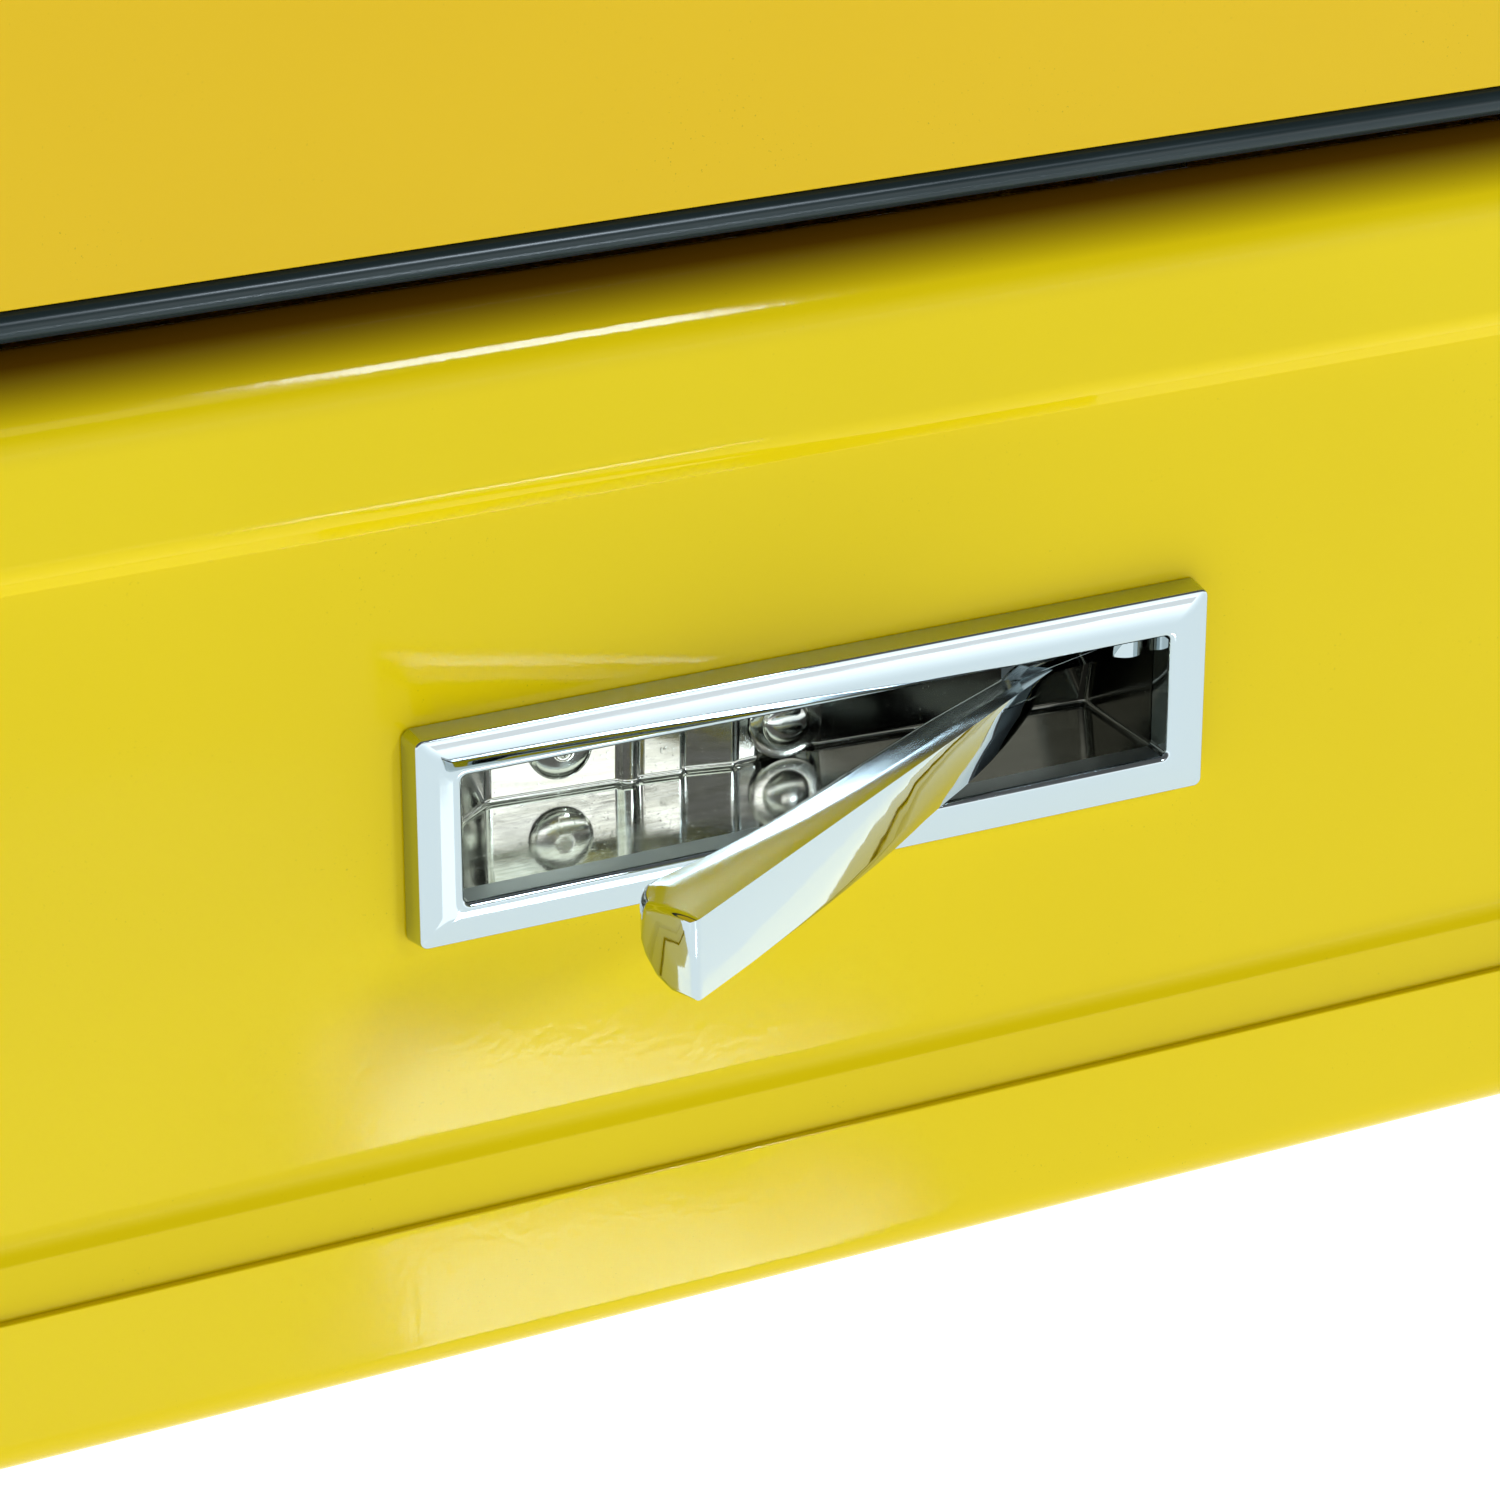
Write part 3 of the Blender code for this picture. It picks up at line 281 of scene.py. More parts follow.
# ---- material nodes ---------------------------------------------------------------------------
class Nodes:
    """A new material and short calls that add and link its nodes."""

    def __init__(self, name):
        self.material = bpy.data.materials.new(name)
        self.material.use_nodes = True
        self.tree = self.material.node_tree
        self.shader = self.tree.nodes["Principled BSDF"]
        self.place = self.add("ShaderNodeTexCoord").outputs["Object"]

    def add(self, kind, **settings):
        node = self.tree.nodes.new(kind)
        for key, value in settings.items():
            setattr(node, key, value)
        return node

    def link(self, source, target):
        self.tree.links.new(source, target)

    def scaled(self, scale):
        mapping = self.add("ShaderNodeMapping")
        mapping.inputs["Scale"].default_value = scale
        self.link(self.place, mapping.inputs["Vector"])
        return mapping.outputs["Vector"]

    def noise(self, scale, detail=2.0, roughness=0.5, stretch=(1, 1, 1)):
        node = self.add("ShaderNodeTexNoise")
        node.inputs["Scale"].default_value = scale
        node.inputs["Detail"].default_value = detail
        node.inputs["Roughness"].default_value = roughness
        self.link(self.scaled(stretch), node.inputs["Vector"])
        return node.outputs["Fac"]

    def ramp(self, source, low, high, from_low=0.0, from_high=1.0):
        node = self.add("ShaderNodeMapRange")
        node.inputs["From Min"].default_value = from_low
        node.inputs["From Max"].default_value = from_high
        node.inputs["To Min"].default_value = low
        node.inputs["To Max"].default_value = high
        self.link(source, node.inputs["Value"])
        return node.outputs["Result"]

    def split(self, vector, axis):
        node = self.add("ShaderNodeSeparateXYZ")
        self.link(vector, node.inputs["Vector"])
        return node.outputs[axis]

    def mix(self, factor, first, second):
        node = self.add("ShaderNodeMix", data_type="RGBA")
        for value, name in ((first, "A"), (second, "B")):
            socket = next(s for s in node.inputs if s.name == name and s.type == "RGBA")
            if isinstance(value, tuple):
                socket.default_value = (*value, 1.0)
            else:
                self.link(value, socket)
        if isinstance(factor, float):
            node.inputs["Factor"].default_value = factor
        else:
            self.link(factor, node.inputs["Factor"])
        return next(s for s in node.outputs if s.type == "RGBA")

    def math(self, operation, first, second):
        node = self.add("ShaderNodeMath", operation=operation)
        for value, socket in ((first, node.inputs[0]), (second, node.inputs[1])):
            if isinstance(value, (int, float)):
                socket.default_value = value
            else:
                self.link(value, socket)
        return node.outputs["Value"]

    def bump(self, height, distance, strength=1.0, below=None):
        node = self.add("ShaderNodeBump")
        node.inputs["Distance"].default_value = distance
        node.inputs["Strength"].default_value = strength
        self.link(height, node.inputs["Height"])
        if below:
            self.link(below, node.inputs["Normal"])
        return node.outputs["Normal"]

    def set(self, **values):
        for key, value in values.items():
            socket = self.shader.inputs[key.replace("_", " ")]
            if isinstance(value, (int, float)):
                socket.default_value = value
            elif isinstance(value, tuple):
                socket.default_value = (*value, 1.0)
            else:
                self.link(value, socket)
        return self.material


# Colours of painted shade on the body's paint: under the trim, and along the foot of the base pan where it meets
# the floor.
PAINTED_SHADE_UNDER_TRIM = (0.150, 0.060, 0.001)
PAINTED_SHADE_AT_FOOT = (0.330, 0.230, 0.020)


def powder_coat(name, colour, shade, orange_peel=1.0, painted_shade=False):
    """Gloss enamel on sheet steel: orange peel, faint waviness, dust specks and handling haze.

    The body's copy also carries painted shade: darker under the trim and along the foot of the base pan, where it
    meets the floor.
    """
    n = Nodes(name)
    drift = n.ramp(n.noise(9.0, 3.0), 0.0, 1.0, 0.35, 0.65)
    tint = n.mix(drift, colour, shade)
    specks = n.ramp(n.noise(2600.0, 1.0), 0.0, 1.0, 0.745, 0.765)
    sparse = n.ramp(n.noise(55.0, 2.0), 0.0, 0.55, 0.52, 0.66)
    dust = n.math("MULTIPLY", specks, sparse)
    base = n.mix(dust, tint, tuple(0.45 * c for c in colour))
    if painted_shade:
        height = n.split(n.place, "Z")
        # Painted shade: the paint darkens towards the gap under the trim.
        base = n.mix(n.ramp(height, 0.0, 1.0, 150.3 * MM, 156.6 * MM), base, PAINTED_SHADE_UNDER_TRIM)
        # Painted shade: the paint darkens towards the foot of the base pan, where it meets the floor.
        base = n.mix(n.ramp(height, 0.55, 0.0, 0.2 * MM, 5.0 * MM), base, PAINTED_SHADE_AT_FOOT)
    handled = n.ramp(n.noise(30.0, 5.0, 0.62), 0.045, 0.095, 0.40, 0.72)
    wavy = n.bump(n.noise(13.0, 2.0, 0.4), 0.00018 * orange_peel)
    peeled = n.bump(n.noise(620.0, 2.0, 0.45), 0.0000075 * orange_peel, below=wavy)
    normal = n.bump(n.noise(3000.0, 1.0), 0.0000012, below=peeled)
    return n.set(Base_Color=base, Roughness=handled, Normal=normal, IOR=1.5, Specular_IOR_Level=0.16)


def polished_chrome(name, colour=(0.505, 0.555, 0.570), dull=1.0, top_haze=0.0, top_from=0.90, top_to=0.99):
    """Bright chrome plate: slight cast waviness, hairlines and finger haze.

    Faces that look up are as dull as top_haze says; it comes in between two values of the normal's Z.
    """
    n = Nodes(name)
    haze = n.ramp(n.noise(60.0, 4.0, 0.6), 0.018 * dull, 0.075 * dull, 0.42, 0.75)
    hairlines = n.noise(900.0, 2.0, 0.5, (0.06, 1.0, 1.0))
    waves = n.noise(42.0, 1.5, 0.4)
    wavy = n.bump(waves, 0.00009)
    normal = n.bump(hairlines, 0.0000018, below=wavy)
    if top_haze:
        upward = n.split(n.add("ShaderNodeNewGeometry").outputs["Normal"], "Z")
        haze = n.math("MAXIMUM", haze, n.ramp(upward, 0.0, top_haze, top_from, top_to))
    tint = n.mix(n.noise(18.0), colour, tuple(0.94 * c for c in colour))
    return n.set(Base_Color=tint, Metallic=1.0, Roughness=haze, Normal=normal)


def pressed_nickel(name):
    """Thin nickel-plated pressing: drawing marks, pits, and painted shade that darkens its right half, where the
    lever keeps light from it.
    """
    n = Nodes(name)
    streak = n.noise(420.0, 3.0, 0.6, (0.10, 1.0, 1.0))
    uneven = n.noise(70.0, 3.0, 0.55)
    pits = n.ramp(n.noise(1500.0, 2.0), 0.0, 1.0, 0.66, 0.74)
    rough = n.math("ADD", n.ramp(uneven, 0.05, 0.16, 0.35, 0.7), n.math("MULTIPLY", pits, 0.15))
    wavy = n.bump(uneven, 0.00007)
    marked = n.bump(streak, 0.000008, below=wavy)
    normal = n.bump(pits, 0.000006, below=marked)
    tint = n.mix(n.ramp(streak, 0.0, 1.0, 0.4, 0.6), (0.86, 0.87, 0.82), (0.76, 0.765, 0.70))
    # Painted shade: the cup's right half is darkened, for the light the lever keeps from it.
    painted_lever_shade = n.ramp(n.split(n.place, "X"), 0.0, 0.85, 2 * MM, 14 * MM)
    plating_and_painted_shade = n.mix(painted_lever_shade, tint, (0.13, 0.13, 0.105))
    return n.set(Base_Color=plating_and_painted_shade, Metallic=1.0, Roughness=rough, Normal=normal)


def bright_zinc(name):
    """Zinc-plated steel: faint spangle, rolling grain and duller patches."""
    n = Nodes(name)
    cells = n.add("ShaderNodeTexVoronoi")
    cells.inputs["Scale"].default_value = 160.0
    n.link(n.place, cells.inputs["Vector"])
    grain = n.noise(700.0, 3.0, 0.6, (0.15, 1.0, 1.0))
    patches = n.noise(45.0, 4.0, 0.6)
    spangle = n.ramp(cells.outputs["Distance"], 0.0, 1.0, 0.0, 0.7)
    tone = n.mix(spangle, (0.62, 0.64, 0.65), (0.53, 0.55, 0.57))
    rough = n.ramp(patches, 0.22, 0.42, 0.35, 0.7)
    normal = n.bump(grain, 0.000012)
    return n.set(Base_Color=tone, Metallic=1.0, Roughness=rough, Normal=normal)


def gloss_vinyl(name):
    """Blue-grey extruded vinyl trim: fine length-wise drag lines and a soft gloss."""
    n = Nodes(name)
    lines = n.noise(900.0, 2.0, 0.5, (0.02, 0.02, 1.0))
    clouds = n.noise(35.0, 3.0)
    tint = n.mix(clouds, (0.010, 0.019, 0.021), (0.016, 0.029, 0.031))
    rough = n.ramp(clouds, 0.16, 0.27, 0.3, 0.7)
    normal = n.bump(lines, 0.000018)
    return n.set(Base_Color=tint, Roughness=rough, Normal=normal, IOR=1.38)


def moulded_grip(name):
    """Black handle moulding: fine spark texture, with patches worn smoother."""
    n = Nodes(name)
    texture = n.noise(2200.0, 2.0, 0.6)
    wear = n.noise(38.0, 3.0, 0.6)
    tint = n.mix(wear, (0.014, 0.014, 0.015), (0.026, 0.026, 0.028))
    rough = n.ramp(wear, 0.38, 0.58, 0.35, 0.7)
    normal = n.bump(texture, 0.000030)
    return n.set(Base_Color=tint, Roughness=rough, Normal=normal)


def floor_material():
    """A polished pale table that glows slightly, like a lit acrylic sheet."""
    n = Nodes("studio_floor")
    n.set(Base_Color=(0.60, 0.60, 0.60), Roughness=0.035, IOR=4.0)
    return n.set(Emission_Color=(0.84, 0.95, 1.0), Emission_Strength=1.27)


YELLOW = powder_coat("yellow_powder_coat", (0.810, 0.585, 0.003), (0.785, 0.560, 0.002), painted_shade=True)
# Painted light: the lid gets the body's yellow paint tinted more orange, for the different light that falls on the
# lid.
YELLOW_LID_PAINTED_LIGHT = powder_coat("yellow_lid_coat_painted_light", (0.800, 0.500, 0.010), (0.780, 0.480, 0.008), 0.8)
YELLOW_TRAY = powder_coat("yellow_tray_coat", (0.770, 0.550, 0.004), (0.740, 0.525, 0.003), 1.2)
CHROME = polished_chrome("latch_chrome", top_haze=0.20, top_from=0.980, top_to=0.992)
BEZEL_CHROME = polished_chrome("bezel_chrome", top_haze=0.34)
HANDLE_CHROME = polished_chrome("handle_chrome", (0.78, 0.80, 0.81), 1.6)
NICKEL = pressed_nickel("cup_nickel")
ZINC = bright_zinc("bright_zinc")
VINYL = gloss_vinyl("trim_vinyl")
GRIP = moulded_grip("grip_moulding")


# ---- body, base and lid -----------------------------------------------------------------------
def shoulder(radius, sweep, segments):
    """The body's rounded shoulder, from the top of its wall inwards."""
    return arc((SHOULDER_RADIUS, SHOULDER_START), radius, 180, 180 - sweep, segments)


def body_wall():
    """The front of the body from the base up: foot, rib, recessed panel, step and upper band."""
    rib_lean, ledge_lean, step_lean = 8.0, 24.0, -38.0
    rib_foot, rib_crest, panel_foot = 22.5 * MM, 31.4 * MM, 34.2 * MM
    step_foot, step_head = 127.6 * MM, 130.8 * MM
    wall = [(0.0, BODY_LOW.z), (0.0, rib_foot - 4.5 * MM)]
    wall += bend((0.0, rib_foot), 8.0 * MM, 0.0, rib_lean, 3)
    wall += bend((PANEL_INSET / 2, rib_crest), 2.0 * MM, rib_lean, ledge_lean)
    wall += bend((PANEL_INSET, panel_foot), 9.0 * MM, ledge_lean, 0.0, 10)
    wall += [(PANEL_INSET, panel_foot + 5.3 * MM), (PANEL_INSET, step_foot - 4.6 * MM)]
    wall += bend((PANEL_INSET, step_foot), 0.6 * MM, 0.0, step_lean)
    wall += bend((0.0, step_head), 5.0 * MM, step_lean, 0.0, 12)
    return wall + [(0.0, step_head + 3.7 * MM)]


def body_skin():
    """The body in one pressing, with a hem round its mouth and an opening for the latch."""
    wall = body_wall()
    crown = shoulder(SHOULDER_RADIUS, SHOULDER_SWEEP, 30)
    hem, top = crown[-1][0] + HEM_WIDTH, crown[-1][1]
    foot = top - HEM_DEPTH
    inner = [(hem - 0.2 * MM, top - 0.1 * MM), (hem, top - 0.4 * MM), (hem, foot + 0.2 * MM)]
    inner += [(hem - 0.3 * MM, foot), (hem - SHEET, foot)]
    inner += reversed(shoulder(SHOULDER_RADIUS - SHEET, 66, 14))
    inner += [(inset + SHEET, z) for inset, z in reversed(wall)]
    skin = make_piece("body_skin", swept(wall + crown + inner, True), YELLOW, "body", ["body_shell"])
    panel = -HALF_DEPTH + PANEL_INSET
    hole_x = CUP_HALF_LENGTH + 1.3 * MM
    hole_z = CUP_HALF_HEIGHT + CUP_WALL
    outline = [(-hole_x, -hole_z), (hole_x, -hole_z), (hole_x, hole_z), (-hole_x, hole_z)]
    hole = prism([(x, LATCH_Z + z) for x, z in outline], panel - 2 * MM, panel + 4 * MM, "Y")
    combine(skin, hole, "DIFFERENCE")
    flat_panels(skin, 300 * MM * MM)


def base_skin():
    """The base pan: a rounded lower edge and a thin flange that leans in towards its top."""
    proud = HALF_DEPTH - PAN_HIGH.y
    radius = 5 * MM
    top = PAN_HIGH.z
    lean = 0.40 * MM
    thickness = 1.05 * MM
    lip = proud + lean
    inside = lip + thickness
    outer = arc((radius + proud, radius), radius, 270, 180, 14)
    outer += [(proud + 0.05 * lean, radius + 1.0 * MM), (proud + 0.95 * lean, top - 1.0 * MM)]
    outer += [(lip, top - 0.20 * MM), (lip + 0.10 * MM, top - 0.05 * MM), (lip + 0.22 * MM, top)]
    outer += [(inside - 0.1 * MM, top)]
    inner = [(inside, top - 0.1 * MM), (inside, radius + 1.5 * MM)]
    inner += [(inside + 0.4 * MM, radius - 1.0 * MM), (radius + proud + 1.0 * MM, SHEET)]
    skin = make_piece("base_skin", swept(outer + inner, False), YELLOW, "body", ["base_pan"])
    flat_panels(skin, 900 * MM * MM)


def lid_skin():
    """The lid: a straight skirt, a rounded edge and a raised panel pressed into the top."""
    inset = HALF_DEPTH - LID_HIGH.y
    low = LID_LOW.z
    rise = 1.5 * MM
    border = LID_HIGH.z - rise
    radius = 12 * MM
    ramp_foot, ramp_width = 29.0 * MM, 4.5 * MM
    edge = arc((inset + radius, border - radius), radius, 180, 90, 16)
    outer = [(inset + 0.15 * MM, low), (inset, low + 0.15 * MM), (inset, low + 1.2 * MM)]
    outer += [(inset, border - radius - 1.5 * MM)] + edge
    outer += [(inset + radius + 1.5 * MM, border), (28.0 * MM, border)]
    for step in range(9):
        share = (1 - math.cos(math.pi * step / 8)) / 2
        outer.append((ramp_foot + ramp_width * share, border + rise * share))
    outer += [(35.5 * MM, LID_HIGH.z)]
    inner_edge = arc((inset + radius, border - radius), radius - SHEET, 90, 180, 10)
    inner = [(34.0 * MM, LID_HIGH.z - SHEET), (30.0 * MM, border - SHEET)]
    inner += inner_edge + [(inset + SHEET, low + 0.15 * MM), (inset + SHEET - 0.15 * MM, low)]
    profile = list(reversed(outer)) + list(reversed(inner))
    skin = make_piece("lid_skin", swept(profile, False), YELLOW_LID_PAINTED_LIGHT, "lid", ["lid_shell"])
    flat_panels(skin, 900 * MM * MM)


def trim():
    """The extruded trim: a round nose outside and a flat back."""
    outside = HALF_DEPTH - SEAL_HIGH.y
    height = SEAL_HIGH.z - SEAL_LOW.z
    inside = outside + 5 * MM
    nose = height * 0.46
    middle = SEAL_LOW.z + height / 2
    profile = [(outside + nose, SEAL_HIGH.z)]
    for a in range(10, 171, 10):
        turn = math.radians(a)
        profile.append((outside + nose - nose * math.sin(turn), middle + height / 2 * math.cos(turn)))
    profile += [(outside + nose, SEAL_LOW.z), (inside - 0.5 * MM, SEAL_LOW.z)]
    profile += [(inside, SEAL_LOW.z + 0.5 * MM), (inside, SEAL_HIGH.z)]
    make_piece("edge_trim", swept(profile, True), VINYL, "lid", ["lid_seal"], 50)


# ---- latch ------------------------------------------------------------------------------------
def bezel():
    """The latch's frame: drafted sides, a crisp outer edge and a face that crowns towards the opening."""
    crown = 0.75 * MM
    front = BEZEL_LOW.y + crown
    back = BEZEL_HIGH.y
    half_x = 62.5 * MM
    half_z = 15.55 * MM
    open_x = 56.0 * MM
    open_z = 9.45 * MM
    outer_edge = 0.40 * MM
    inner_edge = 0.9 * MM
    corner = 1.2 * MM
    opening_corner = 0.9 * MM
    flare = 0.45 * MM
    draft = 0.05 * MM
    steps = [(half_x + flare, half_z + flare, 1.5 * MM, back)]
    steps += [(half_x + draft, half_z + draft, corner, front + 0.8 * MM)]
    for a in range(0, 91, 15):
        grow = outer_edge * (math.cos(math.radians(a)) - 1)
        depth = outer_edge * (1 - math.sin(math.radians(a)))
        steps.append((half_x + grow, half_z + grow, corner + grow, front + depth))
    band = half_z - outer_edge - open_z - inner_edge
    for step in range(1, 9):
        share = step / 8
        rise = crown * math.sin(share * math.pi / 2)
        inward = outer_edge + band * share
        steps.append((half_x - inward, half_z - inward, corner + 0.6 * MM * share, front - rise))
    for a in range(80, -1, -10):
        grow = inner_edge * (1 - math.cos(math.radians(a)))
        depth = inner_edge * (1 - math.sin(math.radians(a)))
        steps.append((open_x + grow, open_z + grow, opening_corner + grow, front - crown + depth))
    steps.append((open_x, open_z, opening_corner, back))
    sections = []
    for across, up, radius, y in steps:
        outline = rounded_rectangle(across, up, radius, 8)
        sections.append([(x, y, LATCH_Z + z) for x, z in outline])
    make_piece("bezel", loft(sections, True), BEZEL_CHROME, "body", ["latch_bezel"], 50)


def fillet(points, radii, segments=6):
    """Rounds the corners of a plan polygon; a radius of zero keeps the corner sharp."""
    rounded = []
    count = len(points)
    for index, radius in enumerate(radii):
        here = Vector(points[index])
        if radius == 0:
            rounded.append(tuple(here))
            continue
        before = (Vector(points[index - 1]) - here)
        after = (Vector(points[(index + 1) % count]) - here)
        reach = min(radius, before.length * 0.45, after.length * 0.45)
        start = here + before.normalized() * reach
        end = here + after.normalized() * reach
        for step in range(segments + 1):
            t = step / segments
            rounded.append(tuple((1 - t) ** 2 * start + 2 * t * (1 - t) * here + t * t * end))
    return rounded


# plan points: the two ends of the cup's back wall, and where its finger end runs out to the left
CUP_BACK_LEFT = Vector((-39.4 * MM, -82.6 * MM))
CUP_BACK_RIGHT = Vector((CUP_HALF_LENGTH, -90.6 * MM))
CUP_FINGER_BACK = Vector((-45.5 * MM, -87.0 * MM))
CUP_FINGER_FRONT = Vector((-CUP_HALF_LENGTH, -100.5 * MM))

# the back wall's foot lies behind its head: the lean, in degrees, grows from CUP_LEAN_LEFT at
# CUP_CREASE to CUP_LEAN_RIGHT at CUP_CREASE_WIDTH further right
CUP_LEAN_LEFT = 1.5
CUP_LEAN_RIGHT = 12.0
CUP_CREASE = -1.0 * MM
CUP_CREASE_WIDTH = 12.0 * MM


def back_wall(x):
    """Depth of the cup's back wall at x."""
    share = (x - CUP_BACK_LEFT.x) / (CUP_BACK_RIGHT.x - CUP_BACK_LEFT.x)
    return CUP_BACK_LEFT.y + (CUP_BACK_RIGHT.y - CUP_BACK_LEFT.y) * share


# upright folds in the cup's back wall, right to left, as (x, extra depth) in millimetres
CUP_FOLDS = [(12.5, 0.0), (11.4, 0.5), (3.2, 0.25), (2.2, -0.35), (-1.0, -0.35), (-1.8, -0.75),
             (-9.0, 0.35), (-9.7, -0.5), (-15.6, -0.2), (-16.2, -0.1), (-16.7, -0.9), (-17.8, -1.25),
             (-18.9, -0.9), (-19.5, -0.1)]


def cup_pocket():
    """The hollow of the cup: a folded plan whose back wall leans, with rounded ceiling and floor edges."""
    mouth = CUP_FRONT - 3 * MM
    plan = [(-CUP_HALF_LENGTH, mouth), (CUP_HALF_LENGTH, mouth), CUP_BACK_RIGHT]
    plan += [(x * MM, back_wall(x * MM) + deeper * MM) for x, deeper in CUP_FOLDS]
    plan += [CUP_BACK_LEFT, CUP_FINGER_BACK, CUP_FINGER_FRONT]
    radii = [0, 0, 1.2 * MM] + [0.35 * MM] * len(CUP_FOLDS) + [0.8 * MM, 0.8 * MM, 1.5 * MM]
    plan_line = fillet(plan, radii, 4)
    leaning_from = CUP_BACK_RIGHT.y - 1.5 * MM
    sections = []
    for z in (-CUP_HALF_HEIGHT, CUP_HALF_HEIGHT):
        section = []
        for x, y in plan_line:
            share = min(max((x - CUP_CREASE) / CUP_CREASE_WIDTH, 0.0), 1.0)
            lean = math.radians(CUP_LEAN_LEFT + (CUP_LEAN_RIGHT - CUP_LEAN_LEFT) * share)
            back = -z * math.tan(lean) if y > leaning_from else 0.0
            section.append((x, y + back, LATCH_Z + z))
        sections.append(section)
    pocket = loft(sections)
    edges = [e for e in pocket.edges if abs(e.verts[0].co.z - e.verts[1].co.z) < 1e-7]
    bmesh.ops.recalc_face_normals(pocket, faces=pocket.faces)
    bmesh.ops.bevel(pocket, geom=edges, offset=0.9 * MM, segments=5, profile=0.5, affect="EDGES")
    return pocket


def cup():
    """The recess behind the lever: a pressed cup, deeper at its finger end, with upright folds."""
    wall = CUP_WALL
    # the pocket's leaning back wall needs this much more metal behind it
    deep = wall + CUP_HALF_HEIGHT * math.tan(math.radians(CUP_LEAN_RIGHT))
    end = CUP_HALF_LENGTH + wall
    outer = [
        (-end, CUP_FRONT),
        (end, CUP_FRONT),
        (end, CUP_BACK_RIGHT.y + deep),
        (CUP_BACK_LEFT.x, CUP_BACK_LEFT.y + deep),
        (CUP_FINGER_BACK.x - wall, CUP_FINGER_BACK.y + wall * 0.5),
        (-end, CUP_FINGER_FRONT.y + wall * 0.4),
    ]
    height = CUP_HALF_HEIGHT + wall
    piece = make_piece("cup", prism(outer, LATCH_Z - height, LATCH_Z + height), NICKEL, "body",
                       ["latch_cup"])
    combine(piece, cup_pocket(), "DIFFERENCE")
    bore = [(LATCH_Z, SHAFT_BORE), (LATCH_Z + 20 * MM, SHAFT_BORE)]
    combine(piece, turned(bore, (PIVOT.x, PIVOT.y), "Z", 32, False), "DIFFERENCE")
    flat_panels(piece, 25 * MM * MM)


def cup_fixing(name, node, x, z, radius, recess, pad):
    """A domed head on the cup's back wall, leaning with the wall, with or without a drive recess."""
    rise = 1.5 * MM
    pad_height = 0.36 * MM
    base = -GAP
    profile = []
    if pad:
        profile += [(base, radius * 1.55), (base - 0.25 * MM, radius * 1.52)]
        profile += [(base - 0.35 * MM, radius * 1.4), (base - pad_height, radius * 1.06)]
        base -= pad_height
    profile += [(base, radius)]
    for a in range(15, 76, 10):
        turn = math.radians(a)
        profile.append((base - rise * math.sin(turn), radius * (0.12 + 0.88 * math.cos(turn))))
    if recess:
        profile += [(base - rise, radius * 0.30), (base - rise + 0.1 * MM, radius * 0.22)]
        profile += [(base - rise + 1.1 * MM, radius * 0.15)]
    else:
        profile += [(base - rise, radius * 0.08)]
    mesh_data = turned(profile, (0.0, 0.0), "Y", 40, False)
    slope = math.atan2(CUP_BACK_RIGHT.y - CUP_BACK_LEFT.y, CUP_BACK_RIGHT.x - CUP_BACK_LEFT.x)
    place = Matrix.Translation((x, back_wall(x), z)) @ Matrix.Rotation(slope, 4, "Z")
    mesh_data.transform(place)
    make_piece(name, mesh_data, NICKEL, "body", [node])


def lever_point(along, behind, z):
    """A point of the lever: distance from its free end, depth behind its face, height above its middle."""
    from_pivot = along - LEVER_LENGTH
    back = behind + LEVER_OFFSET
    x = PIVOT.x + from_pivot * math.cos(LEVER_ANGLE) - back * math.sin(LEVER_ANGLE)
    y = PIVOT.y + from_pivot * math.sin(LEVER_ANGLE) + back * math.cos(LEVER_ANGLE)
    return (x, y, LATCH_Z + z)


def line_through(knots, along):
    """The size at a place along the lever, between the two (distance along, size) knots round it."""
    for (x0, y0), (x1, y1) in zip(knots, knots[1:]):
        if along <= x1:
            return y0 + (y1 - y0) * (along - x0) / (x1 - x0)
    return knots[-1][1]


# how far behind the face the flat top ends, how thick the lever is, its lower edge, and the edge
# where the face gives way to the lower facet, each as (distance along, size) in millimetres
LEVER_FLAT = [(0, 6.6), (3, 8.0), (7, 9.6), (9, 9.0), (14.5, 8.2), (18.6, 7.4), (27, 5.9), (36, 4.4),
              (50, 3.2), (65, 2.7), (79, 2.6), (100, 1.8)]
LEVER_REAR = [(0, 8.4), (1.5, 10.2), (4, 11.9), (8, 13.0), (11, 13.1), (15, 12.2), (20, 11.2),
              (30, 10.2), (57, 9.9), (76, 8.8), (89, 7.2), (98, 5.4), (100, 5.2)]
LEVER_LOW = [(0, -5.85), (74, -5.85), (78, -5.60), (82, -4.95), (85.5, -4.10), (88.5, -2.90),
             (91, -1.30), (93.5, 1.10), (96, 3.2), (98, 4.5), (99.3, 5.2), (100, 5.3)]
LEVER_FACET = [(0, -5.84), (14, -5.80), (30, -5.2), (40, -4.4), (50, -3.2), (58, -1.9), (66, 0.2),
               (73, 1.5), (88, 2.2), (93.5, 2.4), (97, 4.9), (100, 5.5)]
# where the sections are taken, closer together at the toe and where the lever ends in its neck
LEVER_STATIONS = [1.3, 1.8, 2.4, 3.2, 4.5, 6, 7, 8, 9, 10, 11, 12, 14.5, 17, 20, 24, 28, 33, 38, 44, 50,
                  56, 62, 66, 69, 71, 74, 76, 78, 80, 82, 84, 85.5, 87, 88.5, 89.8, 91, 92.3, 93.5,
                  94.8, 96, 97, 98, 98.7, 99.3]
TUCK_ANGLE = math.radians(23)
BROW_ANGLE = math.radians(13)


